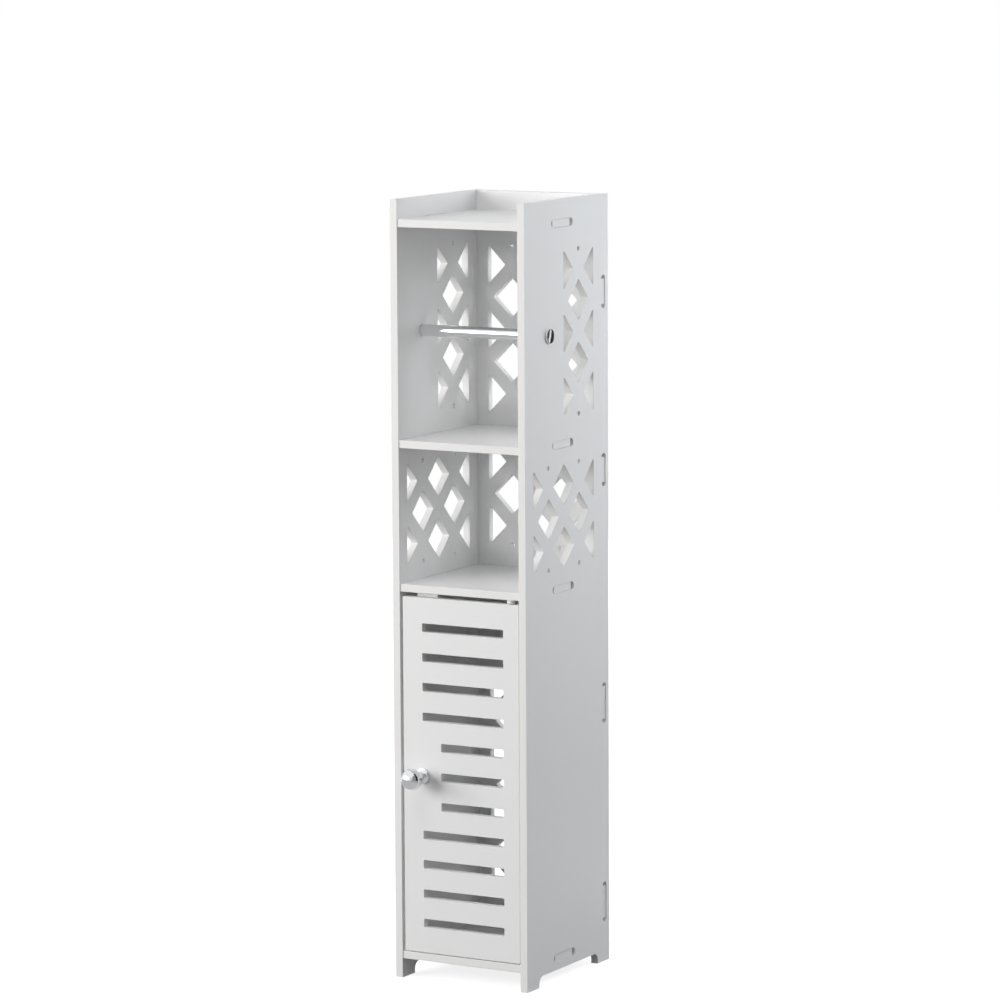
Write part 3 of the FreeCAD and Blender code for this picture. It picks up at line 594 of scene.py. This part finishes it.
roll_field = back_field(2, roll_middle - ROLL_TRELLIS_DROP, 1.0, 0.0)
open_field = back_field(1, open_middle + OPEN_TRELLIS_LIFT, 0.0, 1.0)
cupboard_field = back_field(3, shelf_middle["bottom_shelf"] + CUPBOARD_TRELLIS_RISE, 1.0, 1.0)
back_place = (0.0, back_high.y, 0.0)
make_board("upper_back_panel", [back_outline("upper_back_panel", upper_tabs, UPPER_TAB)],
           [roll_field, open_field], FACING_FRONT, back_place)
make_board("lower_back_panel", [back_outline("lower_back_panel", lower_tabs, LOWER_TAB)],
           [cupboard_field], FACING_FRONT, back_place)

# %% [markdown]
# ## Shelves
#
# Four shelves tie the sides together. Each is a plain board with one tab at either end, and the tab stops a
# millimetre short of the outer face, so the slot shows from outside as a shallow recess with two dark ends. Nothing
# repeats inside the outline, so the board tree alone makes them.

# %% Cut the shelves
def shelf_outline(node):
    low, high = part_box(node)
    near, far = SHELF_TAB_MIDDLE - SHELF_TAB / 2, SHELF_TAB_MIDDLE + SHELF_TAB / 2
    return mirrored([(-inner, low.y), (-inner, near), (high.x, near), (high.x, far), (-inner, far), (-inner, high.y)])


for name in shelf_names:
    make_board(name, [shelf_outline(name)], [], FLAT, (0.0, 0.0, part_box(name)[0].z))

# %% [markdown]
# ## Door
#
# The door is one board with eleven slots. The four at the top and the four at the bottom are long. The three in the
# middle are shorter, which leaves plain board for the knob. All of them end at the same distance from the hinged
# edge, so each group is placed from that edge.

# %% Cut the door
door_low, door_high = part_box("door_panel")
door_middle = (door_low.z + door_high.z) / 2
LOUVRE = {"pitch": 30.6 * MM, "slot_height": 9 * MM, "corner": 1.2 * MM}
LONG_SLOT = 94.5 * MM
SHORT_SLOT = 73 * MM
SLOT_MARGIN = 17.9 * MM
LONG_COUNT = 4
SHORT_COUNT = 3


def slot_group(steps_from_middle, count, length):
    """A row of slots whose lowest one lies this many pitches from the middle of the door."""
    across = door_high.x - SLOT_MARGIN - length / 2
    lowest = door_middle + steps_from_middle * LOUVRE["pitch"]
    return louvres, dict(LOUVRE, count=count, length=length, lowest=(across, lowest, 0.0))


half_short = (SHORT_COUNT - 1) // 2
door_slots = [slot_group(-half_short - LONG_COUNT, LONG_COUNT, LONG_SLOT),
              slot_group(-half_short, SHORT_COUNT, SHORT_SLOT),
              slot_group(half_short + 1, LONG_COUNT, LONG_SLOT)]
make_board("door_panel", [rectangle(door_low.x, door_high.x, door_low.z, door_high.z)], door_slots,
           FACING_FRONT, (0.0, door_high.y, 0.0))

# %% [markdown]
# ## Turned pieces
#
# The knob, the rod with its head and plug, and the door's pivot pins and bushes were all made on a lathe or in a
# round mould. The Screw modifier is Blender's lathe: it sweeps a profile round an axis. Each profile is a list of
# radius and height, with small arcs where an edge is broken. The turned mesh is then laid along its real axis by
# moving its points, so the object itself stays at the origin.

# %% Helper: turn a profile and lay it along an axis
BREAK = 0.2 * MM
SHARP = math.radians(35)


def aimed(axis):
    """The turn that lays +Z along an axis."""
    return Vector((0, 0, 1)).rotation_difference(Vector(axis)).to_matrix().to_4x4()


def turned(name, profile, origin, axis, steps=64):
    mesh = bpy.data.meshes.new(name)
    mesh.from_pydata([(radius, 0.0, along) for radius, along in profile],
                     [(i, i + 1) for i in range(len(profile) - 1)], [])
    made = bpy.data.objects.new(name, mesh)
    bpy.context.scene.collection.objects.link(made)
    lathe = made.modifiers.new("lathe", "SCREW")
    lathe.axis = "Z"
    lathe.angle = 2 * math.pi
    lathe.screw_offset = 0.0
    lathe.steps = lathe.render_steps = steps
    lathe.use_merge_vertices = True
    lathe.merge_threshold = MERGE
    mesh = make_plain(made)
    mesh.transform(Matrix.Translation(origin) @ aimed(axis))
    mesh.shade_smooth()
    mesh.set_sharp_from_angle(angle=SHARP)
    return made


def rounded_corner(corner, radius, start, end, steps=5):
    """An arc that replaces a profile's corner; the centre is found from the quarter that it spans."""
    middle = math.radians((start + end) / 2)
    reach = radius * math.sqrt(2)
    centre = (corner[0] - reach * math.cos(middle), corner[1] - reach * math.sin(middle))
    return arc(centre, radius, start, end, steps)


TO_FRONT = (0, -1, 0)
TO_RIGHT = (1, 0, 0)
TO_LEFT = (-1, 0, 0)
UP = (0, 0, 1)
DOWN = (0, 0, -1)
print("lathe helper is ready")

# %% [markdown]
# The knob is a polished ball on a flared collar. The ball sits on the collar's neck, and the neck spreads in a
# hollow curve to a thin foot against the door.

# %% Turn the knob
ball_low, ball_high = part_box("knob_ball")
collar_low, collar_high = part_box("knob_collar")
BALL = (ball_high.x - ball_low.x) / 2
COLLAR = (collar_high.x - collar_low.x) / 2
NECK = 4 * MM
COLLAR_EDGE = 2 * MM
COLLAR_RISE = 3 * MM
COLLAR_FOOT_ROUND = 0.3 * MM
COLLAR_EDGE_ROUND = 0.6 * MM
FLARE_STEPS = 8
knob_x = (ball_low.x + ball_high.x) / 2
ball_middle = Vector((knob_x, ball_low.y + BALL, door_middle))
seat_angle = math.degrees(math.asin((ball_high.y - ball_middle.y) / BALL))
ball_profile = arc((0.0, 0.0), BALL, 90, -seat_angle, 40)
ball_profile[0] = (0.0, BALL)
ball_profile.append((0.0, ball_profile[-1][1]))
knob_ball = turned("knob_ball_polished", ball_profile, ball_middle, TO_FRONT)
dress(knob_ball, "knob_ball")

stand = collar_high.y - collar_low.y
flare = []
for i in range(FLARE_STEPS + 1):
    share = i / FLARE_STEPS
    spread = (COLLAR - COLLAR_EDGE_ROUND - NECK) * (1 - share) ** 2
    flare.append((NECK + spread, COLLAR_EDGE + COLLAR_RISE * share))
collar_profile = [(0.0, 0.0), (COLLAR - COLLAR_FOOT_ROUND, 0.0)]
collar_profile += rounded_corner((COLLAR, 0.0), COLLAR_FOOT_ROUND, -90, 0, 3)
collar_profile += rounded_corner((COLLAR, COLLAR_EDGE), COLLAR_EDGE_ROUND, 0, 90)
collar_profile += flare + [(NECK, stand), (0.0, stand)]
collar_seat = Vector((knob_x, collar_high.y, door_middle))
knob_collar = turned("knob_collar_polished", collar_profile, collar_seat, TO_FRONT)
dress(knob_collar, "knob_collar")
print("knob ball", round(2 * BALL / MM, 1), "mm, collar", round(2 * COLLAR / MM, 1), "mm")

# %% [markdown]
# The rod is a chromed tube. Its head is a low polished button that stays outside the right side panel, and a plastic
# plug closes the other end. Pulling the head draws the rod out of the cabinet.

# %% Turn the rod, its head and its plug
head_low, head_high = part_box("rod_head")
plug_low, plug_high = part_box("rod_plug")
ROD = (rod_high.z - rod_low.z) / 2
ROD_WALL = 1 * MM
ROD_BORE = ROD - ROD_WALL
SPIGOT = 12 * MM
SPIGOT_PLAY = 0.05 * MM
SPIGOT_BREAK = 0.4 * MM
BUTTON_BREAK = 0.15 * MM
DOME_STEPS = 8
rod_length = rod_high.x - rod_low.x
rod_profile = [(ROD_BORE, 0.0), (ROD - BREAK, 0.0), (ROD, BREAK), (ROD, rod_length - BREAK),
               (ROD - BREAK, rod_length), (ROD_BORE, rod_length), (ROD_BORE, 0.0)]
rod_axis = Vector((0.0, rod_middle.y, rod_middle.z))
roll_rod = turned("roll_rod_tube", rod_profile, rod_axis + Vector((rod_low.x, 0, 0)), TO_RIGHT)
dress(roll_rod, "roll_rod")


def button(radius, edge, rim, dome):
    """A disc with a spigot below it, a rounded rim and a slightly domed face."""
    inside = ROD_BORE - SPIGOT_PLAY
    profile = [(0.0, -SPIGOT), (inside - SPIGOT_BREAK, -SPIGOT), (inside, -SPIGOT + SPIGOT_BREAK), (inside, 0.0)]
    profile += [(radius - BUTTON_BREAK, 0.0), (radius, BUTTON_BREAK)]
    profile += arc((radius - rim, edge - dome - rim), rim, 0, 78, 7)
    flat_start, flat_rise = profile[-1]
    for i in range(1, DOME_STEPS + 1):
        share = 1 - i / DOME_STEPS
        profile.append((flat_start * share, edge - (edge - flat_rise) * share ** 2))
    return profile


head_radius = (head_high.z - head_low.z) / 2
head_edge = head_high.x - rod_high.x
rod_head = turned("rod_head_button", button(head_radius, head_edge, 1.2 * MM, 0.35 * MM),
                  rod_axis + Vector((rod_high.x, 0, 0)), TO_RIGHT)
dress(rod_head, "rod_head")
rod_plug = turned("rod_plug_cap", button(ROD, rod_low.x - plug_low.x, 0.5 * MM, 0.15 * MM),
                  rod_axis + Vector((rod_low.x, 0, 0)), TO_LEFT)
dress(rod_plug, "rod_plug")
print("rod", round(2 * ROD / MM, 1), "mm thick,", round(rod_length / MM, 1), "mm long")

# %% [markdown]
# The door has no hinge leaves. A steel pin with a thin collar stands in each end of its right edge and turns in a
# plastic bush pressed into the shelf. The upper bush has a deep flange that fills the gap above the door and shows
# there as a white disc. The lower one is a plain sleeve, flush with its shelf, so that the door can hang close to
# it.

# %% Turn the pivots
pin_low, pin_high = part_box("upper_pivot_pin")
pivot = Vector(((pin_low.x + pin_high.x) / 2, (pin_low.y + pin_high.y) / 2, 0.0))
PIN = 1.5 * MM
PIN_COLLAR = (pin_high.x - pin_low.x) / 2
PIN_COLLAR_EDGE = 0.7 * MM
PIN_DEPTH = 18 * MM
BUSH = 2.5 * MM
BUSH_BORE = 1.58 * MM
PIVOT_STEPS = 40


def pin_profile(tip):
    """A pin about its seat at 0: the buried shank below, the collar and the turning end above."""
    return [(0.0, -PIN_DEPTH), (PIN, -PIN_DEPTH), (PIN, 0.0), (PIN_COLLAR - BREAK, 0.0), (PIN_COLLAR, BREAK),
            (PIN_COLLAR, PIN_COLLAR_EDGE - BREAK), (PIN_COLLAR - BREAK, PIN_COLLAR_EDGE), (PIN, PIN_COLLAR_EDGE),
            (PIN, tip - BREAK), (PIN - BREAK, tip), (0.0, tip)]


def bush_profile(radius, flange, length):
    """A sleeve from 0 upwards; a flange, where there is one, is the part below the shelf."""
    outside = [(BUSH_BORE + BREAK, 0.0), (radius - BREAK, 0.0), (radius, BREAK)]
    if flange > 0:
        outside += [(radius, flange - BREAK), (radius - BREAK, flange), (BUSH, flange)]
    return [(BUSH_BORE, BREAK)] + outside + [(BUSH, length - BREAK), (BUSH - BREAK, length), (BUSH_BORE, length),
                                             (BUSH_BORE, BREAK)]


for level, aim, seat in (("upper", UP, door_high.z), ("lower", DOWN, door_low.z)):
    pin_name, bush_name = level + "_pivot_pin", level + "_pivot_bush"
    low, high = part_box(pin_name)
    tip = high.z - seat if aim == UP else seat - low.z
    pin = turned(pin_name + "_turned", pin_profile(tip), pivot + Vector((0, 0, seat)), aim, PIVOT_STEPS)
    dress(pin, pin_name)
    low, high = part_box(bush_name)
    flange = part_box("lower_shelf")[0].z - low.z if aim == UP else 0.0
    bush = turned(bush_name + "_turned", bush_profile((high.x - low.x) / 2, flange, high.z - low.z),
                  pivot + Vector((0, 0, low.z)), UP, PIVOT_STEPS)
    dress(bush, bush_name)
    print(level, "pivot: flange", round(flange / MM, 2), "mm deep, bush", round((high.z - low.z) / MM, 1), "mm long")

# %% [markdown]
# ## Screws
#
# Four small screws show when the door is open: two through the ear of the catch, one in the strike plate and one
# whose head draws the knob to the door. Each is turned with a rounded head, and a Boolean modifier sinks a cross
# recess into it. The two catch screws are the same, so a short tree sets one screw on a line of two points.

# %% Helpers for the screws
SCREW_STEPS = 32
HEAD_STEPS = 9
HEAD_RIM = 0.35
HEAD_BREAK = 0.1 * MM


def cross_cutter(reach, width, depth):
    """Two crossed bars that taper towards the bottom of the recess; the open end is at height 0."""
    cutter = bmesh.new()
    for quarter in (0, 90):
        top = [Vector((x * reach, y * width, 0.0)) for x, y in ((-1, -1), (1, -1), (1, 1), (-1, 1))]
        low = [Vector((p.x * 0.45, p.y * 0.6, depth)) for p in top]
        spin = Matrix.Rotation(math.radians(quarter), 3, "Z")
        above = [cutter.verts.new(spin @ (p + Vector((0, 0, -depth)))) for p in top]
        below = [cutter.verts.new(spin @ p) for p in low]
        cutter.faces.new(above)
        cutter.faces.new(reversed(below))
        for i in range(4):
            cutter.faces.new((above[i - 1], above[i], below[i], below[i - 1])[::-1])
    bmesh.ops.recalc_face_normals(cutter, faces=cutter.faces)
    mesh = bpy.data.meshes.new("cross_cutter")
    cutter.to_mesh(mesh)
    cutter.free()
    made = bpy.data.objects.new("cross_cutter", mesh)
    bpy.context.scene.collection.objects.link(made)
    return made


def pan_screw(name, shank, length, head, rise):
    """A screw about +Z: the shank above 0, the rounded head with its recess below."""
    profile = [(0.0, -rise)]
    for i in range(1, HEAD_STEPS + 1):
        angle = math.radians(90 * i / HEAD_STEPS)
        profile.append((head * math.sin(angle), -rise * (HEAD_RIM + (1 - HEAD_RIM) * math.cos(angle))))
    profile += [(head, -HEAD_BREAK), (head - HEAD_BREAK, 0.0), (shank, 0.0), (shank, length - shank), (0.0, length)]
    screw = turned(name, profile, Vector(), UP, SCREW_STEPS)
    cutter = cross_cutter(head * 0.55, head * 0.13, rise * 0.6)
    cutter.data.transform(Matrix.Translation((0, 0, -rise)))
    recess = screw.modifiers.new("recess", "BOOLEAN")
    recess.operation = "DIFFERENCE"
    recess.solver = "EXACT"
    recess.use_self = True
    recess.object = cutter
    mesh = make_plain(screw)
    bpy.data.objects.remove(cutter)
    mesh.shade_smooth()
    mesh.set_sharp_from_angle(angle=SHARP)
    return screw


def pair_tree():
    sizes = [("Spacing", "NodeSocketFloat"), ("Count", "NodeSocketInt")]
    tree, given = new_tree("screw_row", sizes)
    line = add_node(tree, "GeometryNodeMeshLine", {
        "Count": given["Count"], "Offset": vector_of(tree, given["Spacing"])})
    copies = add_node(tree, "GeometryNodeInstanceOnPoints", {
        "Points": line.outputs[0], "Instance": given["Geometry"]})
    close_tree(tree, copies.outputs[0], given["Finish"])
    return tree


def screw_head(node):
    """The head's radius of a screw that lies front to back, from its measured node."""
    low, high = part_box(node)
    return (high.x - low.x) / 2


def driven_to_front(node, shank, rise):
    """A screw that is driven from behind towards the front, seated where its node is."""
    low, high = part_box(node)
    screw = pan_screw(node + "_pan", shank, high.y - low.y - rise, screw_head(node), rise)
    seat = Vector(((low.x + high.x) / 2, high.y - rise, (low.z + high.z) / 2))
    screw.data.transform(Matrix.Translation(seat) @ aimed(TO_FRONT))
    dress(screw, node)
    return screw


print("screw helpers are ready")

# %% Turn and slot the screws
SMALL_SHANK = 1.25 * MM
SMALL_RISE = 1.6 * MM
SCREW_SPREAD = 13 * MM
KNOB_SHANK = 2 * MM
KNOB_RISE = 2.4 * MM
small_head = screw_head("strike_screw")
low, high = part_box("catch_screws")
pair = pan_screw("catch_screws_pan", SMALL_SHANK, high.z - low.z - SMALL_RISE, small_head, SMALL_RISE)
add_tree(pair, pair_tree(), finishes["zinc_steel"], spacing=SCREW_SPREAD, count=2)
mesh = make_plain(pair)
mesh.transform(Matrix.Translation((low.x + small_head, (low.y + high.y) / 2, low.z + SMALL_RISE)))
dress(pair, "catch_screws")
strike_screw = driven_to_front("strike_screw", SMALL_SHANK, SMALL_RISE)
knob_screw = driven_to_front("knob_screw", KNOB_SHANK, KNOB_RISE)
print("screws:", [piece.name for piece in (pair, strike_screw, knob_screw)])

# %% [markdown]
# ## Catch
#
# A white plastic block under the lower shelf holds a magnet, and a thin steel plate on the door meets it. Their
# shapes are already right in the measured model, so each is a copy of its node with the loose triangles merged, flat
# faces joined again, and its edges eased as a mould or a press leaves them.

# %% Dress the catch, magnet and strike plate
def eased_copy(node, width):
    mesh = frame["nodes"][node].data.copy()
    made = bpy.data.objects.new(node + "_eased", mesh)
    bpy.context.scene.collection.objects.link(made)
    work = bmesh.new()
    work.from_mesh(mesh)
    bmesh.ops.remove_doubles(work, verts=work.verts, dist=MERGE)
    bmesh.ops.dissolve_limit(work, angle_limit=math.radians(1), verts=work.verts, edges=work.edges)
    work.to_mesh(mesh)
    work.free()
    ease_edges(made, width)
    dress(made, node)
    return made


for name, width in (("catch_housing", 0.4 * MM), ("catch_magnet", 0.3 * MM), ("strike_plate", 0.15 * MM)):
    eased = eased_copy(name, width)
    print(eased.name, len(eased.data.polygons), "faces")

# %% [markdown]
# ## Stage, light and camera
#
# The cabinet stands on a plain pale floor in front of white. The floor and the world look white to the camera by
# asking the Light Path node what kind of ray sees them, so the white costs no extra light on the object, and the
# floor still takes its shadow.

# %% Floor and world
FLOOR_SIZE = 60.0
FLOOR_GLOW = 0.79
FLOOR_SHADE = (0.55, 0.55, 0.55, 1.0)
PURE_WHITE = (1.0, 1.0, 1.0, 1.0)
AMBIENT = 0.4
AMBIENT_COLOUR = (0.97, 0.98, 1.0, 1.0)


def sight_rays(tree):
    """One for rays from the camera, mirrors and glass, and nought for light that bounces."""
    path = tree.nodes.new("ShaderNodeLightPath").outputs
    total = sum_of(tree, "ADD", path["Is Camera Ray"], path["Is Glossy Ray"])
    return sum_of(tree, "MINIMUM", sum_of(tree, "ADD", total, path["Is Transmission Ray"]), 1.0)


def pale_floor():
    material = bpy.data.materials.new("pale_floor")
    material.use_nodes = True
    tree = material.node_tree
    tree.nodes.clear()
    place = tree.nodes.new("ShaderNodeTexCoord").outputs["Object"]
    tone = blend_colours(tree, noise(tree, place, 2.0), (0.15, 0.15, 0.15), (0.17, 0.17, 0.17))
    bounce = add_node(tree, "ShaderNodeBsdfDiffuse", {"Color": tone}).outputs[0]
    shade = add_node(tree, "ShaderNodeBsdfDiffuse", {"Color": FLOOR_SHADE}).outputs[0]
    glow = add_node(tree, "ShaderNodeEmission", {"Color": PURE_WHITE, "Strength": FLOOR_GLOW}).outputs[0]
    seen = add_node(tree, "ShaderNodeAddShader", {0: shade, 1: glow}).outputs[0]
    surface = add_node(tree, "ShaderNodeMixShader", {0: sight_rays(tree), 1: bounce, 2: seen})
    tree.links.new(surface.outputs[0], tree.nodes.new("ShaderNodeOutputMaterial").inputs["Surface"])
    return material


floor_mesh = bpy.data.meshes.new("floor")
half = FLOOR_SIZE / 2
floor_mesh.from_pydata([(-half, -half, 0), (half, -half, 0), (half, half, 0), (-half, half, 0)], [], [(0, 1, 2, 3)])
floor_mesh.materials.append(pale_floor())
floor = bpy.data.objects.new("floor", floor_mesh)
bpy.context.scene.collection.objects.link(floor)

world = bpy.data.worlds.new("white_studio")
world.use_nodes = True
tree = world.node_tree
tree.nodes.clear()
soft = add_node(tree, "ShaderNodeBackground", {"Color": AMBIENT_COLOUR, "Strength": AMBIENT}).outputs[0]
white = add_node(tree, "ShaderNodeBackground", {"Color": PURE_WHITE, "Strength": 1.0}).outputs[0]
sky = add_node(tree, "ShaderNodeMixShader", {0: sight_rays(tree), 1: soft, 2: white})
tree.links.new(sky.outputs[0], tree.nodes.new("ShaderNodeOutputWorld").inputs["Surface"])
bpy.context.scene.world = world
bpy.context.scene.view_settings.view_transform = "Standard"
print("floor and world are white to the camera")

# %% [markdown]
# White boards in front of white show their form by shade alone, so each side needs a level of its own. The key lamp
# stands in front and to the left, a little higher than the tray, and makes the front the lightest side. Weaker
# lamps above, on the left, on the right and behind lift the shelves, the cut edges of the trellis and the greyer
# right side. Broad discs give soft shadows. Five of them are hidden from mirror rays, because they would show as
# white spots in the chrome and as glare on the boards.

# %% Lamps
def soft_lamp(name, place, target, size, watts, colour, in_mirrors=True):
    light = bpy.data.lights.new(name, "AREA")
    light.shape = "DISK"
    light.size = size
    light.energy = watts
    light.color = colour
    lamp = bpy.data.objects.new(name, light)
    lamp.location = place
    lamp.rotation_euler = (Vector(target) - Vector(place)).to_track_quat("-Z", "Y").to_euler()
    lamp.visible_glossy = in_mirrors
    bpy.context.scene.collection.objects.link(lamp)


COOL = (0.94, 0.97, 1.0)
WARM = (1.0, 0.985, 0.97)
WHITE = (1.0, 1.0, 1.0)
soft_lamp("key_lamp", (-1.6, -2.6, 1.15), (0.0, 0.0, 0.5), 1.7, 45.5, WARM)
soft_lamp("left_lamp", (-2.3, -1.35, 1.0), (0.0, 0.0, 0.5), 1.2, 22.0, WHITE)
soft_lamp("top_lamp", (0.2, -1.4, 2.6), (0.0, 0.0, 0.6), 1.4, 10.5, WARM, in_mirrors=False)
soft_lamp("backdrop_lamp", (-1.2, 2.6, 1.2), (0.0, 0.0, 0.4), 3.0, 27.0, WHITE, in_mirrors=False)
soft_lamp("near_lamp", (0.75, 0.4, 0.84), (0.07, 0.0, 0.66), 0.5, 2.5, COOL, in_mirrors=False)
soft_lamp("side_lamp", (1.1, 0.8, 1.1), (0.0, 0.0, 0.7), 0.8, 2.3, COOL, in_mirrors=False)
soft_lamp("rear_lamp", (0.9, 2.4, 0.8), (0.0, 0.0, 0.5), 1.6, 22.0, COOL, in_mirrors=False)

# %% [markdown]
# Polished metal looks like its surroundings. In a room that is white all round, chrome looks like white plastic, so
# a studio hangs dark cards where the metal needs an edge. Here dark cards stand on the right, lie on the floor there
# and hang above, with gaps that leave bright streaks in the metal. Grey ones stand nearer the camera and behind it,
# and lie on the floor in front. Only mirror rays see them, so they take no light from the boards.

# %% Cards for the chrome
def mirror_card(name, corners, low, high):
    """A card of four corners that shows in reflections alone, with a slightly cloudy tone."""
    material = bpy.data.materials.new(name)
    material.use_nodes = True
    tree = material.node_tree
    tree.nodes.clear()
    place = tree.nodes.new("ShaderNodeTexCoord").outputs["Object"]
    tone = blend_colours(tree, noise(tree, place, 3.0), low, high)
    glow = add_node(tree, "ShaderNodeEmission", {"Color": tone, "Strength": 1.0})
    tree.links.new(glow.outputs[0], tree.nodes.new("ShaderNodeOutputMaterial").inputs["Surface"])
    mesh = bpy.data.meshes.new(name)
    mesh.from_pydata(corners, [], [(0, 1, 2, 3)])
    mesh.materials.append(material)
    card = bpy.data.objects.new(name, mesh)
    for sight in ("camera", "diffuse", "transmission", "volume_scatter", "shadow"):
        setattr(card, "visible_" + sight, False)
    bpy.context.scene.collection.objects.link(card)


def tones(low, high):
    """The darkest and the lightest grey of a card."""
    return (low, low, low), (high, high, high)


CARD_X = 1.3
CARD_TOP = 2.2
FLOOR_CARD = 0.003
BLACK = tones(0.02, 0.05)
GREY = tones(0.28, 0.34)
MIDDLE_GREY = tones(0.4, 0.46)
LIGHT_GREY = tones(0.58, 0.66)
FLOOR_GREY = tones(0.5, 0.58)
CAMERA_CARD = [(1.2, -5.6, 0.0), (4.4, -4.0, 0.0), (4.4, -4.0, 2.6), (1.2, -5.6, 2.6)]


def standing(front_low, front_high, rear_low, rear_high):
    """Corners of a card that stands on the right; its two ends may lean."""
    return [(CARD_X, front_low, 0.0), (CARD_X, rear_low, 0.0),
            (CARD_X, rear_high, CARD_TOP), (CARD_X, front_high, CARD_TOP)]


def lying(left, right, near, far, height=FLOOR_CARD):
    """Corners of a level card."""
    return [(left, near, height), (right, near, height), (right, far, height), (left, far, height)]


mirror_card("knob_dark_card", standing(-0.55, -0.55, 0.12, 0.12), *BLACK)
mirror_card("head_dark_card", standing(0.5, 0.5, 1.3, 3.06), *BLACK)
mirror_card("rear_dark_card", standing(1.75, 3.42, 5.0, 5.0), *BLACK)
mirror_card("dark_floor_card", lying(0.35, CARD_X, 0.3, 4.0), *BLACK)
mirror_card("dark_roof_card", lying(0.7, CARD_X, -0.55, 0.12, CARD_TOP), *BLACK)
mirror_card("side_grey_card", standing(-2.1, -2.1, -0.55, -0.55), *GREY)
mirror_card("side_grey_floor_card", lying(0.35, CARD_X, -2.1, 0.3), *MIDDLE_GREY)
mirror_card("camera_grey_card", CAMERA_CARD, *LIGHT_GREY)
mirror_card("front_floor_card", lying(-4.0, 0.35, -6.0, 0.3), *FLOOR_GREY)
mirror_card("front_right_floor_card", lying(0.35, 3.4, -6.0, -2.1), *GREY)

# %% [markdown]
# The camera stands where the photographer's did: to the right of the front, a little above the top, and far enough
# away for a long lens. Its place was found by matching corners of the cabinet to the picture.

# %% Camera
CAMERA_PLACE = Vector((2.3585, -4.1325, 1.1173))
AZIMUTH, ELEVATION, ROLL = (math.radians(angle) for angle in (29.632, 7.5, -0.305))
SENSOR = 36.0
FOCAL_IN_FRAMES = 4.704
back = Vector((math.sin(AZIMUTH) * math.cos(ELEVATION), -math.cos(AZIMUTH) * math.cos(ELEVATION),
               math.sin(ELEVATION)))
level = Vector((math.cos(AZIMUTH), math.sin(AZIMUTH), 0.0))
upright = back.cross(level)
right = level * math.cos(ROLL) + upright * math.sin(ROLL)
up = upright * math.cos(ROLL) - level * math.sin(ROLL)
camera_data = bpy.data.cameras.new("camera")
camera_data.sensor_width = SENSOR
camera_data.lens = SENSOR * FOCAL_IN_FRAMES
camera = bpy.data.objects.new("camera", camera_data)
camera.matrix_world = Matrix.Translation(CAMERA_PLACE) @ Matrix((right, up, back)).transposed().to_4x4()
bpy.context.scene.collection.objects.link(camera)
bpy.context.scene.camera = camera
print("camera lens", round(camera_data.lens, 1), "mm")
